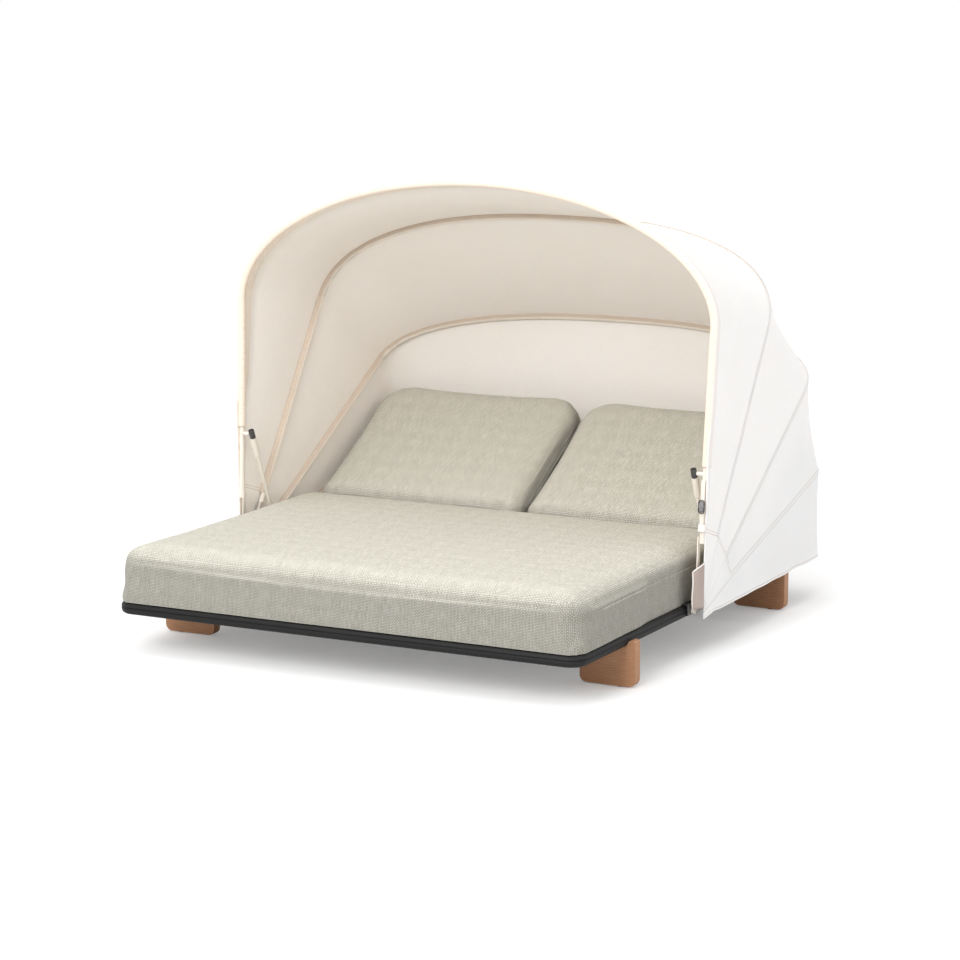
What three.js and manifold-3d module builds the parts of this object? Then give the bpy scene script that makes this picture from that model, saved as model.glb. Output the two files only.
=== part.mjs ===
// Outdoor daybed with a folding canopy, in millimetres, +Z up, the front towards -Y.
// The origin is on the floor, under the centre of the whole piece.
import * as THREE from 'three';
import { mergeVertices } from 'three/addons/utils/BufferGeometryUtils.js';
import Module from 'manifold-3d';

const wasm = await Module();
wasm.setup();

// Driving dimensions of the base frame
const frame_width = 1800;
const frame_depth = 2020;
const rail_base_height = 140;
const rail_height = 42;
const rail_thickness = 34;
const rail_edge_radius = 16;
const rail_corner_radius = 62;
const rail_groove_depth = 2.5;
const rail_groove_width = 5;
const beam_thickness = 40;
const slat_thickness = 12;
const slat_width_share = 0.0333;
const slat_count = 5;
const slat_span_share = 0.83;

// Driving dimensions of the feet
const foot_length = 205;
const foot_thickness = 40;
const foot_overhang = 29;
const foot_corner_radius = 25;
const foot_lip_angle = 18;
const front_foot_setback = 366;
const rear_foot_setback = 288;
const glide_radius = 15;
const glide_height = 3;
const glide_inset = 60;
const bolt_radius = 4;
const bolt_head_radius = 8;
const bolt_head_height = 6;
const bolt_grip = 24;
const bolt_inset = 160;

// Driving dimensions of the upholstery
const mattress_height = 203;
const mattress_crown = 9;
const mattress_side_gap = 14;
const mattress_front_gap = 4;
const mattress_edge_inset = 26;
const mattress_edge_height = 46;
const mattress_corner_radius = 72;
const mattress_draw_in = 7;
const cushion_length = 700;
const cushion_height = 166;
const cushion_crown = 8;
const cushion_side_gap = 17;
const cushion_middle_gap = 5;
const cushion_edge_inset = 32;
const cushion_edge_height = 60;
const cushion_corner_radius = 130;
const cushion_draw_in = 8;
const cushion_front_corner_radius = 51;
const seam_depth = 2.5;
const seam_width = 7;
const seam_height_share = 0.62;
const lower_turn_inset_share = 0.3;
const lower_turn_height_share = 0.35;
const upper_turn_inset_share = 0.22;
const upper_turn_drop_share = 0.42;
const rim_drop_share = 0.08;
const crown_ring_shares = [0.93, 0.75, 0.4];

// Driving dimensions of the reclining backs
const backrest_angle = 30.5;
const hinge_rear_setback = 610;
const hinge_rise = 17;
const hinge_rod_radius = 6;
const hinge_bracket_thickness = 8;
const hinge_bracket_width = 40;
const hinge_bracket_spread_share = 0.2222;
const knuckle_spread_share = 0.1778;
const knuckle_width = 30;
const knuckle_radius = 12;
const board_thickness = 20;
const board_edge_gap = 14;
const board_start = 20;
const board_corner_radius = 130;
const board_rim = 60;
const board_gap_count = 6;
const board_bar_width = 34;
const recline_clearance = 62;
const prop_reach = 300;
const prop_length = 280;
const prop_rod_radius = 5;
const prop_drop = 22;
const prop_arm_spread_share = 0.0489;
const prop_arm_width = 8;
const prop_lug_spread = 130;
const prop_lug_thickness = 8;
const prop_lug_radius = 11;
const rack_width = 30;
const rack_base_height = 9;
const rack_tooth_height = 7;
const rack_tooth_count = 5;
const rack_tooth_pitch = 40;

// Driving dimensions of the canopy
const pivot_rear_setback = 1133;
const tube_radius = 10;
const tongue_thickness = 4;
const tongue_width = 20;
const tongue_reach = 262;
const tube_start = 238;
const leg_bend_power = 1.5;
const normal_step_share = 0.004;
const pin_radius = 5;
const pin_head_radius = 10;
const pin_head_height = 4;
const bracket_thickness = 6;
const bracket_length = 70;
const bracket_lip = 20;
const bracket_flange_height = 4;
const fabric_thickness = 2.4;
const fabric_stand_off = 1.8;
const fabric_start = 262;
const fabric_sag_share = 0.035;
const ridge_run = 5;
const sleeve_overlap = 14;
const sleeve_start = 560;
const sleeve_full = 700;
const front_edge_setback = 14;
const hem_overhang = 44;
const hem_rear_overhang = 20;
const hem_corner_radius = 70;
const hem_front_height = 138;
const hem_rear_height = 153;

// The front bow's height above the pivot, and how far the bows' feet stand outside the frame
const canopy_reach = 1446;
const bow_overhang = 32;

// The four canopy bows, front to rear: the slot counts the tongues outwards from the rail.
// Legs and rises are shares of the reach, feet and shoulders are shares of the overhang
const canopy_bows = [
  { name: 'bow_1', lean: 3.5, foot_share: 1, shoulder_share: 1.5625,
    leg_share: 0.6812, rise_share: 0.3188, squareness: 2.0, slot: 3 },
  { name: 'bow_2', lean: 32.5, foot_share: 0.625, shoulder_share: 0.6875,
    leg_share: 0.751, rise_share: 0.2808, squareness: 2.38, slot: 2 },
  { name: 'bow_3', lean: 58, foot_share: 0.5625, shoulder_share: 0,
    leg_share: 0.823, rise_share: 0.242, squareness: 2.35, slot: 0 },
  { name: 'bow_4', lean: 74.5, foot_share: 0.6875, shoulder_share: 0.53125,
    leg_share: 0.7953, rise_share: 0.1314, squareness: 2.4, slot: 1 },
];

// Driving dimensions of the two stays that hold the front bow
const stay_distance = 220;
const stay_rise = 10;
const stay_catch_reach = 480;
const stay_rod_radius = 7.5;
const stay_inset = 5;
const stay_tongue_thickness = 5;
const stay_tongue_length = 34;
const stay_pin_radius = 4;
const stay_pin_head_radius = 7;
const stay_pin_head_height = 2;
const stay_head_radius = 11;
const stay_head_length = 34;
const stay_sleeve_radius = 12;
const stay_sleeve_length = 78;
const stay_bracket_length = 46;
const catch_radius = 7;

// Clearances
const seat_gap = 0.3;
const running_gap = 0.05;
const tongue_gap = 0.6;
const bore_gap = 0.4;
const cut_overrun = 5;

// Facet counts
const tube_sides = 8;
const tube_steps = 42;
const rod_sides = 12;
const leg_steps = 4;
const crown_steps = 12;
const panel_rows = 4;
const skirt_rows = 3;
const arc_steps = 4;
const inner_arc_steps = 2;
const rail_turn_steps = 3;
const cushion_side_steps = 4;
const cushion_corner_steps = 3;

// Materials
const paint_dark = new THREE.MeshStandardMaterial({ color: 0x2b2c2c, roughness: 0.55, metalness: 0.3 });
const paint_cream = new THREE.MeshStandardMaterial({ color: 0xe9dfd0, roughness: 0.5, metalness: 0.1 });
const teak = new THREE.MeshStandardMaterial({ color: 0xa06f4a, roughness: 0.6, metalness: 0 });
const seat_fabric = new THREE.MeshStandardMaterial({ color: 0xcdc8b2, roughness: 0.95, metalness: 0 });
const canopy_fabric = new THREE.MeshStandardMaterial({ color: 0xefe6db, roughness: 0.9, metalness: 0 });
const dark_fitting = new THREE.MeshStandardMaterial({ color: 0x3a3a3c, roughness: 0.4, metalness: 0.6 });
const steel = new THREE.MeshStandardMaterial({ color: 0xb4b6b8, roughness: 0.35, metalness: 0.9 });
const glide_plastic = new THREE.MeshStandardMaterial({ color: 0x1d1d1e, roughness: 0.7, metalness: 0 });

// Places worked out from the driving dimensions
const half_width = frame_width / 2;
const front_edge = -frame_depth / 2;
const rear_edge = frame_depth / 2;
const rail_top = rail_base_height + rail_height;
const rail_inner_x = half_width - rail_thickness;
const slat_bottom = rail_top - slat_thickness;
const beam_top = slat_bottom - seat_gap;
const pivot_y = rear_edge - pivot_rear_setback;
const pivot_z = rail_base_height + rail_height / 2 + seat_gap;
const bracket_face_x = half_width + seat_gap + bracket_thickness;
const hinge_y = rear_edge - hinge_rear_setback;
const hinge_z = rail_top + hinge_rise;
const foot_top = rail_base_height - bore_gap;
const fabric_inner_offset = tube_radius + fabric_stand_off;
const fabric_outer_offset = fabric_inner_offset + fabric_thickness;
const cushion_base = board_thickness / 2 + seat_gap;
const sides = [{ name: 'left', sign: -1 }, { name: 'right', sign: 1 }];

const radians = (degrees) => THREE.MathUtils.degToRad(degrees);
const leg_length = (bow) => canopy_reach * bow.leg_share;
const mix = (a, b, share) => a + (b - a) * share;

// Nothing at either end of a run and one in its middle
const bulge = (share) => 4 * share * (1 - share);

// A hole whose flats clear a round pin of this radius
function bore_radius(pin, gap) {
  return (pin + gap) / Math.cos(Math.PI / rod_sides);
}

// Merge shared corners, drop empty triangles and face the body outwards
function closed(geometry) {
  if (geometry.userData.whole) return geometry;
  const bare = geometry.clone();
  bare.deleteAttribute('normal');
  bare.deleteAttribute('uv');
  const merged = mergeVertices(bare, 1e-3);
  const place = merged.attributes.position;
  const corner = (i) => new THREE.Vector3().fromBufferAttribute(place, i);
  const kept = [];
  let volume = 0;
  for (let i = 0; i < merged.index.count; i += 3) {
    const [a, b, c] = [0, 1, 2].map((k) => merged.index.getX(i + k));
    if (a === b || b === c || c === a) continue;
    kept.push(a, b, c);
    volume += corner(a).dot(corner(b).cross(corner(c)));
  }
  if (volume < 0) kept.reverse();
  const out = new THREE.BufferGeometry();
  out.setAttribute('position', place);
  out.setIndex(kept);
  return out;
}

// Booleans on closed geometries
function as_manifold(geometry) {
  const body = closed(geometry);
  const vertProperties = new Float32Array(body.attributes.position.array);
  const triVerts = new Uint32Array(body.index.array);
  return new wasm.Manifold(new wasm.Mesh({ numProp: 3, vertProperties, triVerts }));
}

function from_manifold(body) {
  const mesh = body.getMesh();
  const geometry = new THREE.BufferGeometry();
  geometry.setAttribute('position', new THREE.BufferAttribute(new Float32Array(mesh.vertProperties), 3));
  geometry.setIndex(Array.from(mesh.triVerts));
  geometry.userData.whole = true;
  return geometry;
}

function joined(...pieces) {
  return from_manifold(pieces.map(as_manifold).reduce((a, b) => a.add(b)));
}

function cut(body, ...tools) {
  return from_manifold([body, ...tools].map(as_manifold).reduce((a, b) => a.subtract(b)));
}

function mesh(name, geometry, material) {
  const out = new THREE.Mesh(closed(geometry), material);
  out.name = name;
  return out;
}

// A box from its low and high corners
function box(low, high) {
  const size = high.map((value, i) => value - low[i]);
  const centre = high.map((value, i) => (value + low[i]) / 2);
  return new THREE.BoxGeometry(...size).translate(...centre);
}

// A round rod along X
function rod_x(radius, start, end, y, z) {
  const rod = new THREE.CylinderGeometry(radius, radius, Math.abs(end - start), rod_sides);
  return rod.rotateZ(Math.PI / 2).translate((start + end) / 2, y, z);
}

// A round rod along Z
function rod_z(radius, start, end, x, y) {
  const rod = new THREE.CylinderGeometry(radius, radius, end - start, rod_sides);
  return rod.rotateX(Math.PI / 2).translate(x, y, (start + end) / 2);
}

// An outline in the YZ plane, extruded along X between two places
function plate_x(outline, start, end) {
  const shape = new THREE.Shape(outline.map(([y, z]) => new THREE.Vector2(y, z)));
  const plate = new THREE.ExtrudeGeometry(shape, { depth: Math.abs(end - start), bevelEnabled: false });
  plate.rotateY(Math.PI / 2).rotateX(Math.PI / 2);
  return plate.translate(Math.min(start, end), 0, 0);
}

// An outline in the XZ plane, extruded along Y between two places
function plate_y(outline, start, end) {
  const shape = new THREE.Shape(outline.map(([x, z]) => new THREE.Vector2(x, z)));
  const plate = new THREE.ExtrudeGeometry(shape, { depth: end - start, bevelEnabled: false });
  return plate.rotateX(Math.PI / 2).translate(0, end, 0);
}

// An outline in the XY plane, extruded along Z between two places
function plate_z(outline, start, end) {
  const shape = new THREE.Shape(outline.map(([x, y]) => new THREE.Vector2(x, y)));
  const plate = new THREE.ExtrudeGeometry(shape, { depth: end - start, bevelEnabled: false });
  return plate.translate(0, 0, start);
}

// A closed body from rings with equal counts of points, with flat fans at both ends
function loft(rings) {
  const count = rings[0].length;
  const points = rings.flat();
  const index = [];
  for (let k = 0; k < rings.length - 1; k += 1) {
    for (let i = 0; i < count; i += 1) {
      const a = k * count + i;
      const b = k * count + (i + 1) % count;
      index.push(a, b, a + count, b, b + count, a + count);
    }
  }
  [rings[0], rings[rings.length - 1]].forEach((ring, end) => {
    const first = end ? (rings.length - 1) * count : 0;
    const hub = points.length;
    const centre = ring.reduce((sum, p) => sum.add(p), new THREE.Vector3()).divideScalar(count);
    points.push(centre);
    for (let i = 0; i < count; i += 1) {
      const pair = [first + i, first + (i + 1) % count];
      index.push(hub, ...(end ? pair : pair.reverse()));
    }
  });
  const geometry = new THREE.BufferGeometry().setFromPoints(points);
  geometry.setIndex(index);
  return geometry;
}

// An arc of points as [across, up] pairs, angles in degrees
function arc(across, up, radius, from, to, steps) {
  return Array.from({ length: steps + 1 }, (_, i) => {
    const angle = radians(mix(from, to, i / steps));
    return [across + radius * Math.cos(angle), up + radius * Math.sin(angle)];
  });
}

// The rail's flattened section: [outwards, height above the rail's middle]
function rail_section() {
  const side = rail_thickness / 2 - rail_edge_radius;
  const rise = rail_height / 2 - rail_edge_radius;
  const face = rail_thickness / 2;
  const groove = [[face, rise - rail_groove_width], [face - rail_groove_depth, rise - rail_groove_width / 2]];
  return [
    ...arc(side, -rise, rail_edge_radius, -90, 0, arc_steps),
    ...groove,
    ...arc(side, rise, rail_edge_radius, 0, 90, arc_steps),
    ...arc(-side, rise, rail_edge_radius, 90, 180, inner_arc_steps),
    ...arc(-side, -rise, rail_edge_radius, 180, 270, inner_arc_steps),
  ];
}

// One side of the ring: a straight run with half of the round corner at each end
function rail(name, half_length, half_across, turn) {
  const turn_radius = rail_corner_radius - rail_thickness / 2;
  const reach = half_across - rail_thickness / 2;
  const straight = half_length - rail_corner_radius;
  const trim = THREE.MathUtils.radToDeg(seat_gap / 2 / turn_radius);
  const stations = [];
  for (let i = 0; i <= rail_turn_steps; i += 1) {
    stations.push([-1, mix(-45 + trim, 0, i / rail_turn_steps)]);
  }
  for (let i = 0; i <= rail_turn_steps; i += 1) {
    stations.push([1, mix(0, 45 - trim, i / rail_turn_steps)]);
  }
  const rings = stations.map(([end, degrees]) => {
    const angle = radians(degrees);
    const out = new THREE.Vector3(Math.sin(angle), -Math.cos(angle), 0);
    const centre = new THREE.Vector3(end * straight, -(reach - turn_radius), 0);
    centre.addScaledVector(out, turn_radius);
    return rail_section().map(([across, up]) => centre.clone().addScaledVector(out, across).setZ(up));
  });
  const out = mesh(name, loft(rings), paint_dark);
  out.rotation.z = turn;
  out.position.z = rail_base_height + rail_height / 2;
  return out;
}

function rails() {
  return [
    rail('rail_front', half_width, rear_edge, 0),
    rail('rail_right', rear_edge, half_width, Math.PI / 2),
    rail('rail_rear', half_width, rear_edge, Math.PI),
    rail('rail_left', rear_edge, half_width, -Math.PI / 2),
  ];
}

// The cross beams: the front and rear ones carry the feet, the middle one the back hinges
const beam_places = {
  beam_front: front_edge + front_foot_setback + foot_thickness / 2,
  beam_middle: hinge_y,
  beam_rear: rear_edge - rear_foot_setback - foot_thickness / 2,
};

const bolt_x = half_width + foot_overhang - bolt_inset;

function beam(name, y) {
  const reach = rail_inner_x - seat_gap;
  const half = beam_thickness / 2;
  const bar = box([-reach, y - half, rail_base_height], [reach, y + half, beam_top]);
  if (name === 'beam_middle') return mesh(name, bar, paint_dark);
  const holes = sides.map(({ sign }) => rod_z(
    bore_radius(bolt_radius, bore_gap), rail_base_height - cut_overrun,
    rail_base_height + bolt_grip + bore_gap, sign * bolt_x, y));
  return mesh(name, cut(bar, ...holes), paint_dark);
}

function slats() {
  const reach = rear_edge - rail_thickness - seat_gap;
  const span = rail_inner_x * 2 * slat_span_share;
  return Array.from({ length: slat_count }, (_, i) => {
    const x = mix(-span / 2, span / 2, i / (slat_count - 1));
    const half = frame_width * slat_width_share / 2;
    const bar = box([x - half, -reach, slat_bottom], [x + half, reach, rail_top]);
    return mesh(`seat_slat_${i + 1}`, bar, paint_dark);
  });
}

// A foot is a teak slab that cups the rail from below, with its outer end showing past it
function foot_outline() {
  const outer = half_width + foot_overhang;
  const inner = outer - foot_length;
  const notch_x = half_width - rail_edge_radius;
  const notch_z = rail_base_height + rail_edge_radius;
  const lobe = (outer - half_width - bore_gap) / 2;
  const lobe_z = notch_z - lobe / 2;
  const round = foot_corner_radius;
  const low = glide_height + round;
  return [
    ...arc(inner + round, low, round, 180, 270, arc_steps),
    ...arc(outer - round, low, round, 270, 360, arc_steps),
    ...arc(outer - lobe, lobe_z, lobe, 0, 180, 2 * arc_steps),
    ...arc(notch_x, notch_z, rail_edge_radius + bore_gap, -foot_lip_angle, -90, arc_steps),
    [inner, foot_top],
  ];
}

function feet() {
  const corners = [];
  for (const [row, y] of [['front', beam_places.beam_front], ['rear', beam_places.beam_rear]]) {
    for (const { name, sign } of sides) {
      corners.push(...foot_set(`${row}_${name}`, sign, y));
    }
  }
  return corners;
}

function foot_set(place, sign, y) {
  const head_room = glide_height + bolt_head_height + cut_overrun;
  const x = sign * bolt_x;
  const outline = foot_outline().map(([across, up]) => [sign * across, up]);
  const half = foot_thickness / 2;
  const slab = plate_y(sign > 0 ? outline : outline.reverse(), y - half, y + half);
  const body = cut(slab,
    rod_z(bore_radius(bolt_radius, bore_gap), 0, rail_top, x, y),
    rod_z(bore_radius(bolt_head_radius, bore_gap), 0, head_room, x, y));
  const bolt = joined(
    rod_z(bolt_radius, head_room - bolt_head_height, rail_base_height + bolt_grip, x, y),
    rod_z(bolt_head_radius, head_room - bolt_head_height - seat_gap, head_room - seat_gap, x, y));
  const glide_x = sign * (half_width + foot_overhang - glide_inset);
  const glide = rod_z(glide_radius, 0, glide_height - seat_gap, glide_x, y);
  return [
    mesh(`foot_${place}`, body, teak),
    mesh(`foot_bolt_${place}`, bolt, steel),
    mesh(`foot_glide_${place}`, glide, glide_plastic),
  ];
}

// The plan outline of a cushion, drawn in between its corners, at an inset from its edge
function cushion_plan(half_x, half_y, radii, draw_in, inset) {
  const corners = [[1, -1, radii.front], [1, 1, radii.rear], [-1, 1, radii.rear], [-1, -1, radii.front]];
  const rounds = corners.map(([sx, sy, radius], k) => {
    const from = (k - 1) * 90;
    const place = [sx * (half_x - radius), sy * (half_y - radius)];
    return arc(...place, radius - inset, from, from + 90, cushion_corner_steps);
  });
  return rounds.flatMap((round, k) => {
    const start = round[cushion_corner_steps];
    const end = rounds[(k + 1) % 4][0];
    const side = Array.from({ length: cushion_side_steps - 1 }, (_, i) => {
      const share = (i + 1) / cushion_side_steps;
      const pull = draw_in * bulge(share);
      const x = mix(start[0], end[0], share);
      const y = mix(start[1], end[1], share);
      return k % 2 ? [x, y - Math.sign(y) * pull] : [x - Math.sign(x) * pull, y];
    });
    return [...round, ...side];
  });
}

// A crowned cushion: a flat bottom, round edges, a seam round its side and a domed top
function cushion(half_x, half_y, height, crown, edge_inset, edge_height, radii, draw_in) {
  const seam = height * seam_height_share;
  const profile = [
    [edge_inset, 0],
    [edge_inset * lower_turn_inset_share, edge_height * lower_turn_height_share],
    [0, edge_height],
    [0, seam - seam_width / 2],
    [seam_depth, seam],
    [0, seam + seam_width / 2],
    [edge_inset * upper_turn_inset_share, height - edge_height * upper_turn_drop_share],
    [edge_inset, height - edge_height * rim_drop_share],
  ];
  const rings = profile.map(([inset, z]) => cushion_plan(half_x, half_y, radii, draw_in, inset)
    .map(([x, y]) => new THREE.Vector3(x, y, z)));
  const rim = cushion_plan(half_x, half_y, radii, draw_in, edge_inset);
  for (const scale of crown_ring_shares) {
    const z = mix(height, height + crown, 1 - scale * scale);
    rings.push(rim.map(([x, y]) => new THREE.Vector3(x * scale, y * scale, z)));
  }
  return loft(rings);
}

function mattress() {
  const front = front_edge + mattress_front_gap;
  const rear = hinge_y - cushion_height * Math.sin(radians(backrest_angle)) + board_start - recline_clearance;
  const form = cushion(
    half_width - mattress_side_gap, (rear - front) / 2, mattress_height, mattress_crown,
    mattress_edge_inset, mattress_edge_height,
    { front: mattress_corner_radius, rear: mattress_corner_radius }, mattress_draw_in);
  const out = mesh('seat_mattress', form, seat_fabric);
  out.position.set(0, (front + rear) / 2, rail_top + seat_gap);
  return out;
}

// A slatted board with round rear corners
function back_board(half_x) {
  const reach = half_x - board_edge_gap;
  const end = board_start + cushion_length - board_edge_gap;
  const clear = 2 * reach - 2 * board_rim + board_bar_width;
  const pitch = clear / board_gap_count;
  const gaps = Array.from({ length: board_gap_count }, (_, i) => {
    const low = -reach + board_rim + i * pitch;
    return box([low, board_start + board_rim, -board_thickness],
      [low + pitch - board_bar_width, end - board_rim, board_thickness]);
  });
  const round = board_corner_radius;
  const outline = [
    [-reach, board_start],
    [reach, board_start],
    ...arc(reach - round, end - round, round, 0, 90, arc_steps),
    ...arc(round - reach, end - round, round, 90, 180, arc_steps),
  ];
  return cut(plate_z(outline, -board_thickness / 2, board_thickness / 2), ...gaps);
}

// The back's board with hinge knuckles at its foot and lugs for its prop
function back_frame(side) {
  const half_x = (half_width - cushion_side_gap - cushion_middle_gap) / 2;
  const half = board_thickness / 2;
  const knuckles = [-1, 1].flatMap((sign) => {
    const x = sign * frame_width * knuckle_spread_share / 2;
    const wide = knuckle_width / 2;
    return [
      rod_x(knuckle_radius, x - wide, x + wide, 0, 0),
      box([x - wide, 0, -half], [x + wide, board_start + cut_overrun, half]),
    ];
  });
  const lugs = [-1, 1].map((sign) => {
    const x = sign * prop_lug_spread / 2;
    const wide = prop_lug_thickness / 2;
    return joined(
      rod_x(prop_lug_radius, x - wide, x + wide, prop_reach, -prop_drop),
      box([x - wide, prop_reach - prop_lug_radius, -prop_drop], [x + wide, prop_reach + prop_lug_radius, 0]));
  });
  const bridge = box([-prop_lug_spread, prop_reach - board_bar_width, -half],
    [prop_lug_spread, prop_reach + board_bar_width, half]);
  const solid = joined(back_board(half_x), bridge, ...knuckles, ...lugs);
  const bored = cut(solid,
    rod_x(bore_radius(hinge_rod_radius, running_gap), -half_x, half_x, 0, 0),
    rod_x(bore_radius(prop_rod_radius, running_gap), -half_x, half_x, prop_reach, -prop_drop));
  return mesh(`backrest_frame_${side}`, bored, paint_dark);
}

function back_cushion(side) {
  const half_x = (half_width - cushion_side_gap - cushion_middle_gap) / 2;
  const form = cushion(
    half_x, cushion_length / 2, cushion_height, cushion_crown,
    cushion_edge_inset, cushion_edge_height,
    { front: cushion_front_corner_radius, rear: cushion_corner_radius }, cushion_draw_in);
  const out = mesh(`back_cushion_${side}`, form, seat_fabric);
  out.position.set(0, board_start + cushion_length / 2, cushion_base);
  return out;
}

// The prop is a bail: its upper rod turns in the frame's lugs, its lower rod stands over the rack
const rack_top = rail_base_height + rack_base_height + rack_tooth_height;
const prop_foot_z = rack_top + prop_rod_radius + seat_gap;

function prop_slope() {
  const lean = radians(backrest_angle);
  const top_z = hinge_z + prop_reach * Math.sin(lean) - prop_drop * Math.cos(lean);
  return Math.asin((top_z - prop_foot_z) / prop_length);
}

function prop(side) {
  const pivot_rod = rod_x(prop_rod_radius, -prop_lug_spread / 2 - prop_lug_thickness,
    prop_lug_spread / 2 + prop_lug_thickness, 0, 0);
  const reach = frame_width * prop_arm_spread_share / 2;
  const foot_end = reach + prop_arm_width / 2;
  const foot_rod = rod_x(prop_rod_radius, -foot_end, foot_end, prop_length, 0);
  const arms = [-1, 1].map((sign) => {
    const x = sign * reach;
    return box([x - prop_arm_width / 2, 0, -prop_rod_radius + running_gap],
      [x + prop_arm_width / 2, prop_length, prop_rod_radius - running_gap]);
  });
  const out = mesh(`backrest_prop_${side}`, joined(pivot_rod, foot_rod, ...arms), steel);
  out.position.set(0, prop_reach, -prop_drop);
  out.rotation.x = -(prop_slope() + radians(backrest_angle));
  return out;
}

function backrest({ name, sign }) {
  const group = new THREE.Group();
  group.position.set(sign * (half_width - cushion_side_gap + cushion_middle_gap) / 2, hinge_y, hinge_z);
  group.rotation.x = radians(backrest_angle);
  group.add(back_frame(name), back_cushion(name), prop(name));
  return group;
}

// Each back's hinge rod lies in two brackets that stand on the middle beam
function backrest_hinge({ name, sign }) {
  const centre = sign * (half_width - cushion_side_gap + cushion_middle_gap) / 2;
  const half = frame_width * hinge_bracket_spread_share / 2;
  const end = hinge_bracket_thickness / 2;
  const reach = half + end;
  const rod = rod_x(hinge_rod_radius, centre - reach, centre + reach, hinge_y, hinge_z);
  const bore = bore_radius(hinge_rod_radius, running_gap);
  const hole = rod_x(bore, centre - 2 * reach, centre + 2 * reach, hinge_y, hinge_z);
  const wide = hinge_bracket_width / 2;
  const brackets = [-1, 1].map((turn, i) => {
    const x = centre + turn * half;
    const top = arc(hinge_y, hinge_z, wide, 0, 180, 2 * arc_steps);
    const outline = [[hinge_y - wide, slat_bottom], [hinge_y + wide, slat_bottom], ...top];
    const plate = plate_x(outline, x - end, x + end);
    return mesh(`backrest_hinge_bracket_${name}_${i + 1}`, cut(plate, hole), dark_fitting);
  });
  return [mesh(`backrest_hinge_rod_${name}`, rod, steel), ...brackets];
}

// A toothed rack between the rear beam and the rear rail
function prop_rack({ name, sign }) {
  const centre = sign * (half_width - cushion_side_gap + cushion_middle_gap) / 2;
  const start = beam_places.beam_rear + beam_thickness / 2 + seat_gap;
  const end = rear_edge - rail_thickness - seat_gap;
  const base = rail_base_height + rack_base_height;
  const toothed = rack_tooth_count * rack_tooth_pitch;
  const first = (start + end - toothed) / 2;
  const outline = [[start, rail_base_height], [end, rail_base_height], [end, base]];
  for (let i = rack_tooth_count; i > 0; i -= 1) {
    const tip = first + (i - 0.5) * rack_tooth_pitch;
    outline.push([tip + rack_tooth_height, base]);
    outline.push([tip, base + rack_tooth_height]);
    outline.push([tip - rack_tooth_height, base]);
  }
  outline.push([start, base]);
  const plate = plate_x(outline, centre - rack_width / 2, centre + rack_width / 2);
  return mesh(`backrest_rack_${name}`, plate, dark_fitting);
}

// A bow's half outline: across and reach from the pivot, from its foot at 0 to its crown at 1
function bow_profile(bow, share) {
  const foot = half_width + bow_overhang * bow.foot_share;
  const shoulder = half_width + bow_overhang * bow.shoulder_share;
  if (share <= 0.5) {
    const along = share * 2;
    return [mix(foot, shoulder, along ** leg_bend_power), leg_length(bow) * along];
  }
  const turn = (share - 0.5) * Math.PI;
  const across = shoulder * Math.max(Math.cos(turn), 0) ** (2 / bow.squareness);
  const rise = canopy_reach * bow.rise_share * Math.sin(turn) ** (2 / bow.squareness);
  return [across, leg_length(bow) + rise];
}

// The outward direction in the bow's own plane
function bow_normal(bow, share) {
  const step = normal_step_share;
  if (share + step > 1) return [0, 1];
  const before = bow_profile(bow, Math.max(share - step, 0));
  const after = bow_profile(bow, share + step);
  const [dx, dr] = [after[0] - before[0], after[1] - before[1]];
  const size = Math.hypot(dx, dr);
  return [dr / size, -dx / size];
}

// A place on the bow, moved out by an offset: sign is the side, forward moves it off the plane
function bow_place(bow, share, sign, offset, forward = 0) {
  const [across, reach] = bow_profile(bow, share);
  const [out_x, out_r] = bow_normal(bow, share);
  const lean = radians(bow.lean);
  const r = reach + offset * out_r;
  return new THREE.Vector3(
    sign * (across + offset * out_x),
    pivot_y + r * Math.sin(lean) - forward * Math.cos(lean),
    pivot_z + r * Math.cos(lean) + forward * Math.sin(lean));
}

// The shares of a bow from one reach on the right leg over the crown to the left leg
function bow_shares(bow, start_reach) {
  const first = start_reach / leg_length(bow) / 2;
  const right = [];
  for (let i = 0; i < leg_steps; i += 1) right.push(mix(first, 0.5, i / leg_steps));
  for (let i = 0; i < crown_steps; i += 1) right.push(mix(0.5, 1, i / crown_steps));
  const walk = right.map((share) => ({ share, sign: 1 }));
  return [...walk, { share: 1, sign: 1 }, ...right.reverse().map((share) => ({ share, sign: -1 }))];
}

// The tongue slot of a bow, as the inner and outer faces across
function tongue_faces(bow) {
  const inner = bracket_face_x + tongue_gap + bow.slot * (tongue_thickness + tongue_gap);
  return [inner, inner + tongue_thickness];
}

function bow_tube(bow) {
  const points = bow_shares(bow, tube_start).map(({ share, sign }) => bow_place(bow, share, sign, 0));
  const path = new THREE.CatmullRomCurve3(points, false, 'centripetal');
  const round = new THREE.Shape(arc(0, 0, tube_radius, 0, 360, tube_sides).slice(0, -1)
    .map(([x, y]) => new THREE.Vector2(x, y)));
  return new THREE.ExtrudeGeometry(round, { steps: tube_steps, extrudePath: path, bevelEnabled: false });
}

function bow_tongue(bow, sign) {
  const half = tongue_width / 2;
  const [inner, outer] = tongue_faces(bow);
  const outline = [...arc(0, 0, half, 180, 360, 2 * arc_steps), [half, tongue_reach], [-half, tongue_reach]];
  const plate = plate_x(outline, sign * inner, sign * outer);
  const bore = bore_radius(pin_radius, running_gap);
  const hole = rod_x(bore, sign * half_width, sign * (outer + cut_overrun), 0, 0);
  return cut(plate, hole).rotateX(-radians(bow.lean)).translate(0, pivot_y, pivot_z);
}

// The front bow carries a welded catch on each leg, which the stay's head faces
function bow_catch(bow, sign) {
  const share = stay_catch_reach / leg_length(bow) / 2;
  const place = bow_place(bow, share, sign, 0);
  return rod_x(catch_radius, sign * (stay_x + stay_head_radius + seat_gap), place.x, place.y, place.z);
}

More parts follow.
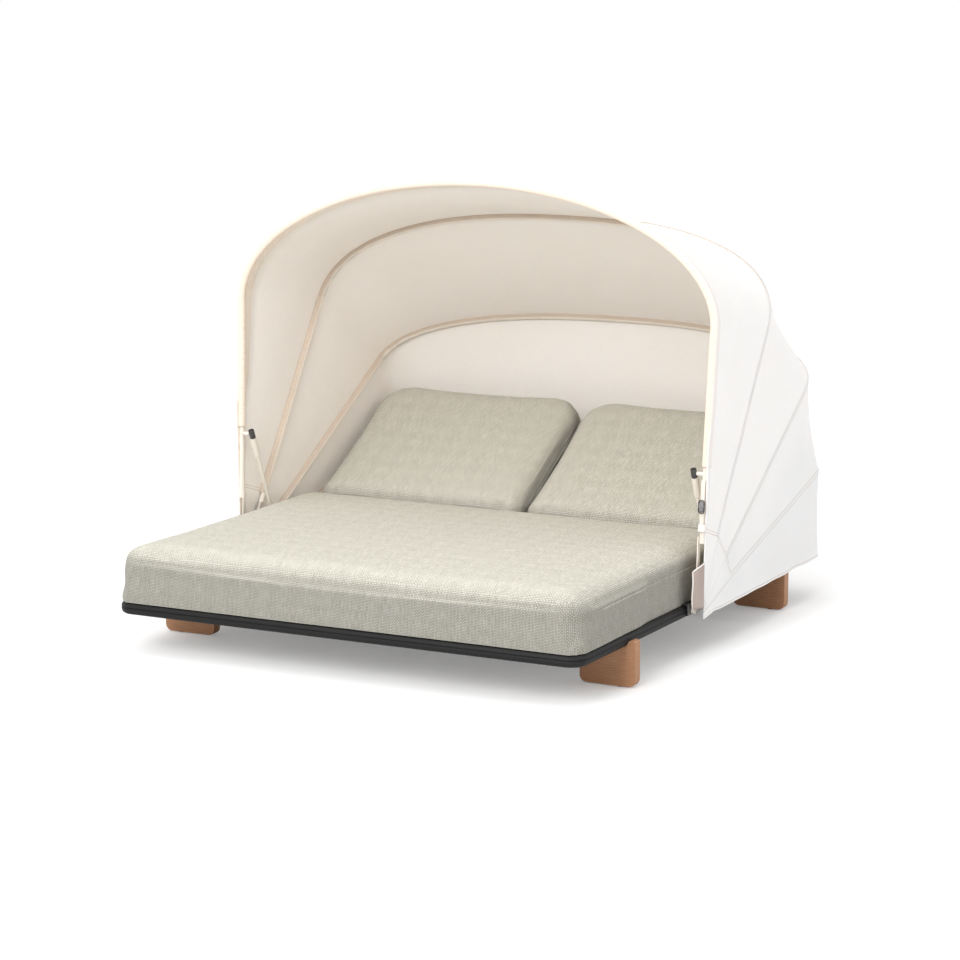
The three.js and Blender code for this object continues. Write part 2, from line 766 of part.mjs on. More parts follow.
function bow(bow_sizes, index) {
  const pieces = [bow_tube(bow_sizes), ...sides.map(({ sign }) => bow_tongue(bow_sizes, sign))];
  if (index === 0) pieces.push(...sides.map(({ sign }) => bow_catch(bow_sizes, sign)));
  return mesh(bow_sizes.name, joined(...pieces), paint_cream);
}

// A bracket clasps the rail from outside and over its top
function rail_clasp(y, length, sign, top) {
  const inner = half_width + seat_gap;
  const outer = inner + bracket_thickness;
  const low = rail_base_height + rail_edge_radius / 2;
  const lip_top = rail_top + seat_gap + bracket_flange_height;
  const lip_inner = half_width - bracket_lip;
  const outline = [[inner, low], [outer, low], [outer, top], [inner, top], [inner, lip_top],
    [lip_inner, lip_top], [lip_inner, rail_top + seat_gap], [inner, rail_top + seat_gap]];
  const turned = outline.map(([x, z]) => [sign * x, z]);
  return plate_y(sign > 0 ? turned : turned.reverse(), y - length / 2, y + length / 2);
}

function canopy_mount({ name, sign }) {
  const lip_top = rail_top + seat_gap + 2 * bracket_flange_height;
  const clasp = rail_clasp(pivot_y, bracket_length, sign, lip_top);
  const last = Math.max(...canopy_bows.map((one) => tongue_faces(one)[1])) + tongue_gap;
  const pin = joined(
    rod_x(pin_radius, sign * (bracket_face_x + seat_gap), sign * (last + pin_head_height), pivot_y, pivot_z),
    rod_x(pin_head_radius, sign * last, sign * (last + pin_head_height), pivot_y, pivot_z));
  return [
    mesh(`canopy_bracket_${name}`, clasp, dark_fitting),
    mesh(`canopy_pivot_pin_${name}`, pin, steel),
  ];
}

// The stay stands in a plane between the mattress and the bows, and leans to the front bow
const stay_x = half_width - stay_inset;
const stay_y = pivot_y + stay_distance;
const stay_z = rail_top + stay_rise;

function stay_line() {
  const front_bow = canopy_bows[0];
  const top = bow_place(front_bow, stay_catch_reach / leg_length(front_bow) / 2, 1, 0);
  const run = top.y - stay_y;
  const rise = top.z - stay_z;
  return { length: Math.hypot(run, rise), lean: Math.atan2(run, rise) };
}

function stay_mount({ name, sign }) {
  const top = stay_z + stay_pin_head_radius + seat_gap;
  const clasp = rail_clasp(stay_y, stay_bracket_length, sign, top);
  const inner = stay_x - stay_tongue_thickness / 2 - tongue_gap;
  const tip = sign * (inner - stay_pin_head_height);
  const pin = rod_x(stay_pin_radius, tip, sign * (half_width + bracket_thickness), stay_y, stay_z);
  const head = rod_x(stay_pin_head_radius, tip, sign * inner, stay_y, stay_z);
  const slot_reach = stay_tongue_length / 2;
  const slot = [half_width - bracket_lip - cut_overrun, half_width + seat_gap].map((x) => sign * x);
  const room = box(
    [Math.min(...slot), stay_y - slot_reach, rail_top],
    [Math.max(...slot), stay_y + slot_reach, top + cut_overrun]);
  return mesh(`stay_bracket_${name}`, joined(cut(clasp, room), pin, head), dark_fitting);
}

function stay({ name, sign }) {
  const { length, lean } = stay_line();
  const half = stay_tongue_thickness / 2;
  const shoulder = stay_tongue_length;
  const head_low = length - stay_head_length / 2;
  const sleeve_high = head_low - seat_gap;
  const tongue = plate_x([...arc(0, 0, stay_rod_radius, 180, 360, 2 * arc_steps),
    [stay_rod_radius, shoulder], [-stay_rod_radius, shoulder]], -half, half);
  const hole = rod_x(bore_radius(stay_pin_radius, running_gap), -stay_rod_radius, stay_rod_radius, 0, 0);
  const shank = rod_z(stay_rod_radius, shoulder - cut_overrun, sleeve_high, 0, 0);
  const rod = joined(cut(tongue, hole), shank);
  const head = rod_z(stay_head_radius, head_low, head_low + stay_head_length, 0, 0);
  const sleeve = cut(
    rod_z(stay_sleeve_radius, sleeve_high - stay_sleeve_length, sleeve_high, 0, 0),
    rod_z(bore_radius(stay_rod_radius, running_gap), 0, length, 0, 0));
  const group = new THREE.Group();
  group.position.set(sign * stay_x, stay_y, stay_z);
  group.rotation.x = -lean;
  group.add(
    mesh(`stay_rod_${name}`, rod, paint_cream),
    mesh(`stay_head_${name}`, head, dark_fitting),
    mesh(`stay_sleeve_${name}`, sleeve, paint_cream));
  return group;
}

// A closed cloth from two grids of points, outer and inner, with equal rows and columns
function cloth(outer, inner) {
  const rows = outer.length;
  const columns = outer[0].length;
  const points = [...outer.flat(), ...inner.flat()];
  const at = (skin, row, column) => skin * rows * columns + row * columns + column;
  const index = [];
  const quad = (a, b, c, d) => index.push(a, b, c, a, c, d);
  for (let r = 0; r < rows - 1; r += 1) {
    for (let c = 0; c < columns - 1; c += 1) {
      quad(at(0, r, c), at(0, r, c + 1), at(0, r + 1, c + 1), at(0, r + 1, c));
      quad(at(1, r, c), at(1, r + 1, c), at(1, r + 1, c + 1), at(1, r, c + 1));
    }
  }
  for (let c = 0; c < columns - 1; c += 1) {
    quad(at(0, 0, c), at(1, 0, c), at(1, 0, c + 1), at(0, 0, c + 1));
    quad(at(0, rows - 1, c), at(0, rows - 1, c + 1), at(1, rows - 1, c + 1), at(1, rows - 1, c));
  }
  for (let r = 0; r < rows - 1; r += 1) {
    quad(at(0, r, 0), at(0, r + 1, 0), at(1, r + 1, 0), at(1, r, 0));
    quad(at(0, r, columns - 1), at(1, r, columns - 1), at(1, r + 1, columns - 1), at(0, r + 1, columns - 1));
  }
  const geometry = new THREE.BufferGeometry().setFromPoints(points);
  geometry.setIndex(index);
  return geometry;
}

// How far the front panel's edge lies ahead of its bow: a plumb edge low down, a sleeve above
function front_sleeve(share) {
  const front = canopy_bows[0];
  const reach = bow_profile(front, share)[1];
  const plumb = reach * Math.sin(radians(front.lean)) - front_edge_setback;
  return mix(plumb, sleeve_overlap, THREE.MathUtils.smoothstep(reach, sleeve_start, sleeve_full));
}

// A line of cloth along a bow: outer places and the directions towards the inner skin
function bow_edge(bow_sizes, ahead) {
  return bow_shares(bow_sizes, fabric_start).map(({ share, sign }) => {
    const outer = bow_place(bow_sizes, share, sign, fabric_outer_offset, ahead(share));
    const inner = bow_place(bow_sizes, share, sign, fabric_inner_offset, ahead(share));
    return { place: outer, inward: inner.sub(outer) };
  });
}

// The skin between two lines of cloth, drawn in between them
function spanned(edge_a, edge_b) {
  return Array.from({ length: panel_rows + 1 }, (_, row) => {
    const share = row / panel_rows;
    return edge_a.map((a, i) => {
      const b = edge_b[i];
      const inward = a.inward.clone().lerp(b.inward, share).setLength(fabric_thickness);
      const sag = fabric_sag_share * a.place.distanceTo(b.place) * bulge(share);
      const place = a.place.clone().lerp(b.place, share);
      return { place: place.addScaledVector(inward, sag / fabric_thickness), inward };
    });
  });
}

function skins(rows) {
  const outer = rows.map((row) => row.map(({ place }) => place));
  const inner = rows.map((row) => row.map(({ place, inward }) => place.clone().add(inward)));
  return cloth(outer, inner);
}

// A panel stretched between two bows, flat over each tube: the front one also wraps forward
function panel(name, front, rear) {
  const is_first = front === canopy_bows[0];
  const lead = is_first ? front_sleeve : () => -seat_gap;
  const leave = is_first ? (share) => front_sleeve(share) - sleeve_overlap - ridge_run : () => -ridge_run;
  const span = spanned(bow_edge(front, leave), bow_edge(rear, () => ridge_run));
  const rows = [bow_edge(front, lead), ...span, bow_edge(rear, () => seat_gap)];
  return mesh(name, skins(rows), canopy_fabric);
}

// The top edge of the skirt: round the patch at the pivot and along the rear bow
function skirt_top() {
  const rear = canopy_bows[canopy_bows.length - 1];
  const start = fabric_start - tongue_gap;
  const side_place = (one, sign, forward) => ({
    place: bow_place(one, start / leg_length(one) / 2, sign, fabric_outer_offset, forward),
    inward: new THREE.Vector3(-sign * fabric_thickness, 0, 0),
  });
  const ahead = front_sleeve(start / leg_length(canopy_bows[0]) / 2);
  const patch = (sign) => [
    side_place(canopy_bows[0], sign, ahead),
    side_place(canopy_bows[0], sign, ahead - sleeve_overlap),
    side_place(canopy_bows[1], sign, 0),
    side_place(canopy_bows[2], sign, 0),
  ];
  const along_bow = (ahead_of) => bow_shares(rear, start).map(({ share, sign }) => {
    const place = bow_place(rear, share, sign, fabric_outer_offset, ahead_of);
    const inner = bow_place(rear, share, sign, fabric_inner_offset, ahead_of);
    return { place, inward: inner.sub(place) };
  });
  const line = (ahead_of) => [...patch(1), ...along_bow(ahead_of), ...patch(-1).reverse()];
  return { edge: line(-seat_gap), ridge: line(-ridge_run) };
}

// The hem's outline on one side: the side run and the turn to the middle of the back, as shares
function hem_walk(side_share, back_share) {
  const side_x = half_width + hem_overhang;
  const back_y = rear_edge + hem_rear_overhang;
  const front_y = pivot_y + front_edge_setback;
  const round = hem_corner_radius;
  if (side_share < 1) return [side_x, mix(front_y, back_y - round, side_share), 1, 0];
  const turn = round * Math.PI / 2;
  const along = back_share * (turn + side_x - round);
  if (along > turn) return [side_x - round - (along - turn), back_y, 0, 1];
  const angle = along / round;
  return [side_x - round + round * Math.cos(angle), back_y - round + round * Math.sin(angle),
    Math.cos(angle), Math.sin(angle)];
}

// The walked length of a line of cloth from one column to another
function walked(line, from, to) {
  let length = 0;
  for (let i = from; i < to; i += 1) length += line[i + 1].place.distanceTo(line[i].place);
  return length;
}

// The hem's line of cloth, each place below its own place on the ridge
function hem_line(ridge) {
  const half = (ridge.length - 1) / 2;
  const shoulder = half - crown_steps;
  const rear_y = rear_edge + hem_rear_overhang;
  const front_y = ridge[0].place.y;
  const side_run = ridge[shoulder].place.y - front_y;
  const back_run = walked(ridge, shoulder, half);
  return ridge.map((_, i) => {
    const step = Math.min(i, ridge.length - 1 - i);
    const sign = i <= half ? 1 : -1;
    const side_share = Math.min((ridge[step].place.y - front_y) / side_run, 1);
    const back_share = step > shoulder ? walked(ridge, shoulder, step) / back_run : 0;
    const [x, y, out_x, out_y] = hem_walk(step < shoulder ? side_share : 1, back_share);
    const z = mix(hem_front_height, hem_rear_height, (y - front_y) / (rear_y - front_y));
    return {
      place: new THREE.Vector3(sign * x, y, z),
      inward: new THREE.Vector3(-sign * out_x, -out_y, 0).multiplyScalar(fabric_thickness),
    };
  });
}

function skirt() {
  const { edge, ridge } = skirt_top();
  const hem = hem_line(ridge);
  const rows = Array.from({ length: skirt_rows + 1 }, (_, row) => {
    const share = row / skirt_rows;
    return hem.map((low, i) => ({
      place: low.place.clone().lerp(ridge[i].place, share),
      inward: low.inward.clone().lerp(ridge[i].inward, share).setLength(fabric_thickness),
    }));
  });
  rows.push(edge);
  return mesh('canopy_skirt', skins(rows), canopy_fabric);
}

// The whole daybed, set with its centre over the origin
const parts = new THREE.Group();
parts.add(...rails(), ...Object.entries(beam_places).map(([name, y]) => beam(name, y)));
parts.add(...slats(), ...feet());
parts.add(...sides.flatMap(canopy_mount), ...sides.map(stay_mount));
parts.add(...sides.flatMap(backrest_hinge), ...sides.map(prop_rack), mattress(), skirt());
parts.add(...canopy_bows.map(bow));
parts.add(panel('canopy_panel_1', canopy_bows[0], canopy_bows[1]));
parts.add(panel('canopy_panel_2', canopy_bows[1], canopy_bows[2]));
parts.add(panel('canopy_panel_3', canopy_bows[2], canopy_bows[3]));
parts.add(...sides.map(backrest), ...sides.map(stay));

const extent = new THREE.Box3().setFromObject(parts);
parts.position.y = -(extent.min.y + extent.max.y) / 2;

const group = new THREE.Group();
group.add(parts);
export default group;
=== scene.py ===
"""Outdoor daybed with a folding canopy, dressed over its CAD frame. Metres, +Z up, the front towards -Y."""
import math

import bmesh
import bpy
from mathutils import Matrix, Vector, noise


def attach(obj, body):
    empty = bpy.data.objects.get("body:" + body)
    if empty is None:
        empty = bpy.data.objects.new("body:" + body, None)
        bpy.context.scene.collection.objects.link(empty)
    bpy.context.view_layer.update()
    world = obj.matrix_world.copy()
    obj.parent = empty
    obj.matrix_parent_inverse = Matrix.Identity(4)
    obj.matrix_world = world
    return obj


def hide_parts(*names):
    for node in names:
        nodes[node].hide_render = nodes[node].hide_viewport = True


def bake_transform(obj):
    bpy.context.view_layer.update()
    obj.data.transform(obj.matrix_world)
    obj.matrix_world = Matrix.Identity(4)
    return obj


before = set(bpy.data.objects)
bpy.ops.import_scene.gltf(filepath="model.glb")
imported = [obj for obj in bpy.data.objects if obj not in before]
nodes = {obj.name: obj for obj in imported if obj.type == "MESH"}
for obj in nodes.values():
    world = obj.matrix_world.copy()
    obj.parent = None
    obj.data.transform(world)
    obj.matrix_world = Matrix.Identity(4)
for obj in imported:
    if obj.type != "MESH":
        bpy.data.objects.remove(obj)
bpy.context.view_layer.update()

# Sizes that the source also has
PIVOT_Y = -0.216839
PIVOT_Z = 0.1613
BOWS = [
    dict(name="bow_1", body="front_bow", lean=3.5, foot=0.932, shoulder=0.950,
         leg=0.985, rise=0.461, square=2.0),
    dict(name="bow_2", body="second_bow", lean=32.5, foot=0.920, shoulder=0.922,
         leg=1.086, rise=0.406, square=2.38),
    dict(name="bow_3", body="third_bow", lean=58.0, foot=0.918, shoulder=0.900,
         leg=1.190, rise=0.350, square=2.35),
    dict(name="bow_4", body="rear_bow", lean=74.5, foot=0.922, shoulder=0.917,
         leg=1.150, rise=0.190, square=2.4),
]
SKIN_OFFSET = 0.0142
SKIN = 0.0024
SAG_SHARE = 0.035
EDGE_SETBACK = 0.014
PATCH_REACH = 0.262
PATCH_STITCH = 0.300
SLEEVE_START = 0.560
SLEEVE_FULL = 0.700
RIM_START = 0.505
FRONT_START = 0.022
FACING_MARKS = (0.060, 0.0870, 0.0895)
HEM_X = 0.944
HEM_REAR_Y = 0.936161
HEM_FRONT_Z = 0.138
HEM_REAR_Z = 0.153
HEM_ROUND = 0.070
BACK_LEAN = math.radians(30.5)
HINGE = Vector((0.0, 0.306161, 0.199))


def mix(a, b, share):
    return a + (b - a) * share


def smooth(low, high, value):
    t = min(max((value - low) / (high - low), 0.0), 1.0)
    return t * t * (3 - 2 * t)


def bulge(share):
    return 4 * share * (1 - share)


# ---------------------------------------------------------------- materials

class Paint:
    """A node material, built up from its principled shader."""

    def __init__(self, name, colour, roughness, **values):
        self.material = bpy.data.materials.new(name)
        self.material.use_nodes = True
        self.tree = self.material.node_tree
        self.shader = self.tree.nodes["Principled BSDF"]
        self.shader.inputs["Base Color"].default_value = (*colour, 1)
        self.shader.inputs["Roughness"].default_value = roughness
        for key, value in values.items():
            self.shader.inputs[key.replace("_", " ")].default_value = value

    def node(self, kind, **values):
        node = self.tree.nodes.new("ShaderNode" + kind)
        for key, value in values.items():
            setattr(node, key, value)
        return node

    def link(self, source, target):
        self.tree.links.new(source, target)

    def feed(self, socket, value):
        if hasattr(value, "is_output"):
            self.link(value, socket)
        else:
            socket.default_value = value

    def maths(self, operation, *values, clamp=False):
        node = self.node("Math", operation=operation, use_clamp=clamp)
        for socket, value in zip(node.inputs, values):
            self.feed(socket, value)
        return node.outputs[0]

    def vector(self, operation, *values):
        node = self.node("VectorMath", operation=operation)
        for socket, value in zip(node.inputs, values):
            self.feed(socket, value)
        return node.outputs[0]

    def own(self, name="rest"):
        """A vector or number that the mesh's points carry."""
        node = self.node("Attribute", attribute_name=name, attribute_type="GEOMETRY")
        return node

    def place(self):
        return self.node("TexCoord").outputs["Object"]

    def scaled(self, vector, scale):
        return self.vector("MULTIPLY", vector, scale)

    def noise(self, vector, scale, detail=3.0, rough=0.5, distortion=0.0):
        node = self.node("TexNoise")
        self.link(vector, node.inputs["Vector"])
        node.inputs["Scale"].default_value = scale
        node.inputs["Detail"].default_value = detail
        node.inputs["Roughness"].default_value = rough
        node.inputs["Distortion"].default_value = distortion
        return node.outputs["Fac"]

    def ramp(self, value, stops):
        node = self.node("ValToRGB")
        self.link(value, node.inputs["Fac"])
        marks = node.color_ramp.elements
        while len(marks) < len(stops):
            marks.new(0.5)
        for mark, (place, colour) in zip(marks, stops):
            mark.position = place
            grey = (colour,) * 3 if isinstance(colour, (int, float)) else colour
            mark.color = (*grey, 1)
        return node.outputs["Color"]

    def mixed(self, share, a, b, blend="MIX"):
        node = self.node("Mix", data_type="RGBA", blend_type=blend)
        self.feed(node.inputs[0], share)
        for socket, value in ((node.inputs[6], a), (node.inputs[7], b)):
            if isinstance(value, tuple) and len(value) == 3:
                value = (*value, 1)
            self.feed(socket, value)
        return node.outputs[2]

    def colour(self, socket):
        self.link(socket, self.shader.inputs["Base Color"])

    def roughness(self, socket):
        self.link(socket, self.shader.inputs["Roughness"])

    def bump(self, height, distance, strength=1.0, under=None):
        node = self.node("Bump")
        node.inputs["Distance"].default_value = distance
        node.inputs["Strength"].default_value = strength
        self.link(height, node.inputs["Height"])
        if under is not None:
            self.link(under, node.inputs["Normal"])
        self.link(node.outputs["Normal"], self.shader.inputs["Normal"])
        return node.outputs["Normal"]


def edge_wear(paint, low, high):
    """1 on the sharp outer edges of a piece and 0 on its flats."""
    point = paint.node("NewGeometry").outputs["Pointiness"]
    return paint.ramp(point, [(low, 0), (high, 1)])


def dark_paint():
    paint = Paint("frame_paint", (0.014, 0.014, 0.014), 0.50, Metallic=0.0)
    paint.shader.inputs["Specular IOR Level"].default_value = 0.17
    place = paint.place()
    speckle = paint.noise(place, 900, 2)
    cloud = paint.noise(place, 6, 3)
    base = paint.mixed(paint.ramp(cloud, [(0.3, 0), (0.7, 1)]),
                       (0.0075, 0.0075, 0.0075), (0.012, 0.012, 0.012))
    worn = paint.mixed(edge_wear(paint, 0.52, 0.60), base, (0.030, 0.030, 0.030))
    paint.colour(worn)
    paint.roughness(paint.ramp(cloud, [(0.2, 0.44), (0.8, 0.56)]))
    paint.bump(speckle, 0.0004, 0.35)
    return paint.material


def cream_paint():
    paint = Paint("canopy_paint", (0.80, 0.74, 0.655), 0.45)
    place = paint.place()
    cloud = paint.noise(place, 9, 3)
    paint.colour(paint.mixed(cloud, (0.77, 0.705, 0.62), (0.84, 0.785, 0.70)))
    paint.roughness(paint.ramp(cloud, [(0.2, 0.38), (0.8, 0.52)]))
    paint.bump(paint.noise(place, 1100, 2), 0.0003, 0.3)
    return paint.material


def fitting_metal():
    paint = Paint("dark_fitting", (0.045, 0.045, 0.048), 0.36, Metallic=0.85)
    place = paint.place()
    cloud = paint.noise(place, 30, 4)
    base = paint.mixed(cloud, (0.035, 0.035, 0.037), (0.065, 0.065, 0.068))
    paint.colour(paint.mixed(edge_wear(paint, 0.53, 0.62), base, (0.22, 0.22, 0.22)))
    paint.roughness(paint.ramp(cloud, [(0.2, 0.28), (0.8, 0.46)]))
    paint.bump(paint.noise(place, 700, 2), 0.0003, 0.4)
    return paint.material


def brushed_steel():
    paint = Paint("bolt_steel", (0.52, 0.53, 0.54), 0.32, Metallic=1.0)
    streak = paint.noise(paint.scaled(paint.place(), (40, 900, 900)), 1, 3)
    paint.colour(paint.mixed(streak, (0.44, 0.45, 0.46), (0.60, 0.61, 0.62)))
    paint.roughness(paint.ramp(streak, [(0.2, 0.24), (0.8, 0.42)]))
    paint.bump(streak, 0.0002, 0.3)
    return paint.material


def black_plastic():
    paint = Paint("glide_plastic", (0.020, 0.020, 0.021), 0.6)
    grain = paint.noise(paint.place(), 1500, 3)
    paint.colour(paint.mixed(grain, (0.016, 0.016, 0.017), (0.030, 0.030, 0.031)))
    paint.bump(grain, 0.0003, 0.5)
    return paint.material


def grey_plastic():
    paint = Paint("buckle_plastic", (0.22, 0.21, 0.22), 0.45)
    grain = paint.noise(paint.place(), 1200, 3)
    paint.colour(paint.mixed(grain, (0.18, 0.17, 0.18), (0.27, 0.26, 0.27)))
    paint.bump(grain, 0.0002, 0.4)
    return paint.material


def teak_wood():
    paint = Paint("teak", (0.42, 0.22, 0.12), 0.5)
    place = paint.place()
    drift = paint.noise(paint.scaled(place, (3.0, 9.0, 9.0)), 1, 3)
    wave = paint.node("TexWave", wave_type="BANDS", bands_direction="Z")
    paint.link(paint.scaled(place, (0.35, 1.0, 1.0)), wave.inputs["Vector"])
    wave.inputs["Scale"].default_value = 42
    wave.inputs["Distortion"].default_value = 5.0
    wave.inputs["Detail"].default_value = 3.0
    wave.inputs["Detail Scale"].default_value = 1.4
    rings = paint.ramp(wave.outputs["Fac"], [(0.0, 0), (0.55, 0.35), (0.95, 1)])
    fibre = paint.noise(paint.scaled(place, (22, 420, 420)), 1, 4, 0.6)
    pores = paint.ramp(paint.noise(paint.scaled(place, (60, 900, 900)), 1, 2), [(0.30, 1), (0.42, 0)])
    base = paint.mixed(rings, (0.47, 0.235, 0.118), (0.33, 0.155, 0.072))
    base = paint.mixed(paint.ramp(drift, [(0.35, 0), (0.7, 0.55)]), base, (0.54, 0.285, 0.150))
    base = paint.mixed(paint.ramp(fibre, [(0.4, 0), (0.75, 0.45)]), base, (0.255, 0.118, 0.055))
    base = paint.mixed(paint.maths("MULTIPLY", pores, 0.5), base, (0.17, 0.08, 0.04))
    base = paint.mixed(paint.maths("MULTIPLY", edge_wear(paint, 0.53, 0.60), 0.4), base, (0.24, 0.12, 0.06))
    paint.colour(base)
    paint.roughness(paint.ramp(fibre, [(0.2, 0.42), (0.8, 0.62)]))
    first = paint.bump(fibre, 0.0006, 0.4)
    paint.bump(pores, 0.0005, 0.3, under=first)
    return paint.material


def facing_plane(paint):
    """Two coordinates in the plane that a padded surface faces, from what its points carry, and how far it faces up,
    which sets the painted shade on its sides.
    """
    local = paint.own("local").outputs["Vector"]
    facing = paint.own("facing").outputs["Vector"]
    split, turned = paint.node("SeparateXYZ"), paint.node("SeparateXYZ")
    paint.link(local, split.inputs[0])
    paint.link(facing, turned.inputs[0])
    x, y, z = split.outputs
    fx, fy, fz = [paint.maths("ABSOLUTE", one) for one in turned.outputs]
    is_top = paint.maths("GREATER_THAN", fz, paint.maths("MAXIMUM", fx, fy))
    is_end = paint.maths("GREATER_THAN", fx, fy)
    across = paint.maths("ADD", paint.maths("MULTIPLY", y, is_end),
                         paint.maths("MULTIPLY", x, paint.maths("SUBTRACT", 1.0, is_end)))
    up = z
    u = paint.maths("ADD", paint.maths("MULTIPLY", x, is_top),
                    paint.maths("MULTIPLY", across, paint.maths("SUBTRACT", 1.0, is_top)))
    v = paint.maths("ADD", paint.maths("MULTIPLY", y, is_top),
                    paint.maths("MULTIPLY", up, paint.maths("SUBTRACT", 1.0, is_top)))
    return u, v, paint.ramp(fz, [(0.20, 0), (0.95, 1)])


def threads(paint, u, v, pitch):
    """The height of a plain weave and which of its two threads is on top."""
    turn = math.pi / pitch
    su = paint.maths("SINE", paint.maths("MULTIPLY", u, turn))
    sv = paint.maths("SINE", paint.maths("MULTIPLY", v, turn))
    over = paint.maths("GREATER_THAN", paint.maths("MULTIPLY", su, sv), 0.0)
    au, av = paint.maths("ABSOLUTE", su), paint.maths("ABSOLUTE", sv)
    warp = paint.maths("MULTIPLY", au, paint.maths("POWER", av, 0.4))
    weft = paint.maths("MULTIPLY", av, paint.maths("POWER", au, 0.4))
    height = paint.maths("ADD", paint.maths("MULTIPLY", warp, over),
                         paint.maths("MULTIPLY", weft, paint.maths("SUBTRACT", 1.0, over)))
    return height, over


def seat_weave(name, tone):
    """Cream and grey-green threads in a coarse weave with uneven yarn and a faint lozenge mottle, with painted shade
    on its sides and between its threads.
    """
    paint = Paint(name, (0.66, 0.64, 0.54), 0.95)
    paint.shader.inputs["Sheen Weight"].default_value = 0.12
    paint.shader.inputs["Sheen Roughness"].default_value = 0.6
    paint.shader.inputs["Specular IOR Level"].default_value = 0.2
    u, v, level = facing_plane(paint)
    height, over = threads(paint, u, v, 0.0052)
    flat = paint.node("CombineXYZ")
    paint.link(u, flat.inputs[0])
    paint.link(v, flat.inputs[1])
    plane = flat.outputs[0]
    slub_u = paint.noise(paint.scaled(plane, (28, 210, 1)), 1, 2)
    slub_v = paint.noise(paint.scaled(plane, (210, 28, 1)), 1, 2)
    slub = paint.ramp(paint.mixed(over, slub_u, slub_v), [(0.38, 0), (0.62, 1)])
    blot = paint.ramp(paint.noise(plane, 95, 2), [(0.42, 0), (0.58, 1)])
    cream, sage, pale = (0.775, 0.745, 0.655), (0.475, 0.475, 0.37), (0.83, 0.805, 0.725)
    warp = paint.mixed(slub, cream, pale)
    weft = paint.mixed(slub, sage, cream)
    base = paint.mixed(over, warp, weft)
    base = paint.mixed(paint.maths("MULTIPLY", blot, 0.30), base, (0.60, 0.60, 0.505))
    turn = math.pi / 0.085
    lozenge = paint.maths("MULTIPLY",
                          paint.maths("SINE", paint.maths("MULTIPLY", paint.maths("ADD", u, v), turn)),
                          paint.maths("SINE", paint.maths("MULTIPLY", paint.maths("SUBTRACT", u, v), turn)))
    soft = paint.maths("MULTIPLY_ADD", paint.noise(plane, 14, 3), 1.6, -0.8)
    mottle = paint.maths("MULTIPLY", paint.maths("ADD", lozenge, soft), 0.5)
    shade = paint.maths("MULTIPLY_ADD", mottle, 0.035, 0.99)
    # Painted shade: faces that turn away from straight up are darkened, to 0.72 of the top on upright sides.
    side = paint.maths("MULTIPLY_ADD", level, 0.28, 0.72)
    tone = paint.maths("MULTIPLY", shade, side)
    # Painted shade between the threads: the low parts of the weave are darkened, down to 0.55.
    gap = paint.ramp(height, [(0.05, 0.55), (0.45, 1.0)])
    tone = paint.maths("MULTIPLY", tone, gap)
    # The tone, painted shade included, is multiplied in twice, which deepens it.
    grey = paint.node("CombineColor")
    for socket in grey.inputs[:3]:
        paint.link(tone, socket)
    base = paint.mixed(1.0, base, tone, "MULTIPLY")
    paint.colour(paint.mixed(1.0, base, grey.outputs[0], "MULTIPLY"))
    first = paint.bump(height, 0.0011, 0.75)
    paint.bump(paint.noise(plane, 420, 2), 0.0006, 0.45, under=first)
    return paint.material


def canvas(name, colour, low_colour, stitch_colour_and_shade, lines=(0.0080,), patch=False, glow=0.5, puckers=0.0):
    """Tight canvas that lets some light through, with cloudy tone and stitch rows beside its seams, each row its
    thread colour with painted shade in its groove.
    """
    paint = Paint(name, colour, 0.88)
    paint.shader.inputs["Sheen Weight"].default_value = 0.08
    paint.shader.inputs["Specular IOR Level"].default_value = 0.25
    paint.shader.inputs["Subsurface Weight"].default_value = glow
    paint.shader.inputs["Subsurface Radius"].default_value = (1.0, 0.85, 0.72)
    paint.shader.inputs["Subsurface Scale"].default_value = 0.012
    rest = paint.own("rest").outputs["Vector"]
    cloth = paint.node("SeparateXYZ")
    paint.link(paint.own("cloth").outputs["Vector"], cloth.inputs[0])
    run, edge, reach = cloth.outputs
    cloud = paint.ramp(paint.noise(rest, 3.2, 4, 0.55), [(0.34, 0), (0.66, 1)])
    base = paint.mixed(cloud, low_colour, colour)
    fleck = paint.ramp(paint.noise(rest, 160, 2), [(0.35, 0.975), (0.65, 1.0)])
    height, over = threads(paint, run, edge, 0.0014)
    rows = [(edge, line) for line in lines]
    rows += [(reach, PATCH_STITCH - inset) for inset in (0.007, 0.017)] if patch else []
    above_patch = paint.maths("GREATER_THAN", reach, PATCH_STITCH)
    for across, line in rows:
        near = paint.maths("ABSOLUTE", paint.maths("SUBTRACT", across, line))
        on_line = paint.maths("LESS_THAN", near, 0.0017)
        if patch and across is edge:
            on_line = paint.maths("MULTIPLY", on_line, above_patch)
        beat = paint.maths("SINE", paint.maths("MULTIPLY", run, math.tau / 0.007))
        dash = paint.maths("GREATER_THAN", beat, -0.45)
        # Thread colour and painted shade: a 3.4 mm band along each row is drawn towards the stitch colour, most
        # strongly between the stitches, where the groove's shade is painted.
        stitch_and_shade_share = paint.maths("MULTIPLY", on_line, paint.maths("MULTIPLY_ADD", dash, -0.35, 1.0))
        base = paint.mixed(paint.maths("MULTIPLY", stitch_and_shade_share, 0.85), base, stitch_colour_and_shade)
        height = paint.maths("SUBTRACT", height, paint.maths("MULTIPLY", on_line, 1.2))
    grey = paint.node("CombineColor")
    for socket in grey.inputs[:3]:
        paint.link(fleck, socket)
    paint.colour(paint.mixed(1.0, base, grey.outputs[0], "MULTIPLY"))
    first = paint.bump(height, 0.0004, 0.5)
    last = paint.bump(paint.noise(rest, 9, 3), 0.004, 0.35, under=first)
    if puckers:
        slanted = paint.maths("MULTIPLY_ADD", edge, 1.4, run)
        lane = paint.node("CombineXYZ")
        paint.link(paint.maths("MULTIPLY", slanted, 75.0), lane.inputs[0])
        paint.link(paint.maths("MULTIPLY", edge, 14.0), lane.inputs[1])
        crimp = paint.ramp(paint.noise(lane.outputs[0], 1.0, 2), [(0.30, 0), (0.70, 1)])
        paint.bump(crimp, puckers, 0.8, under=last)
    return paint.material


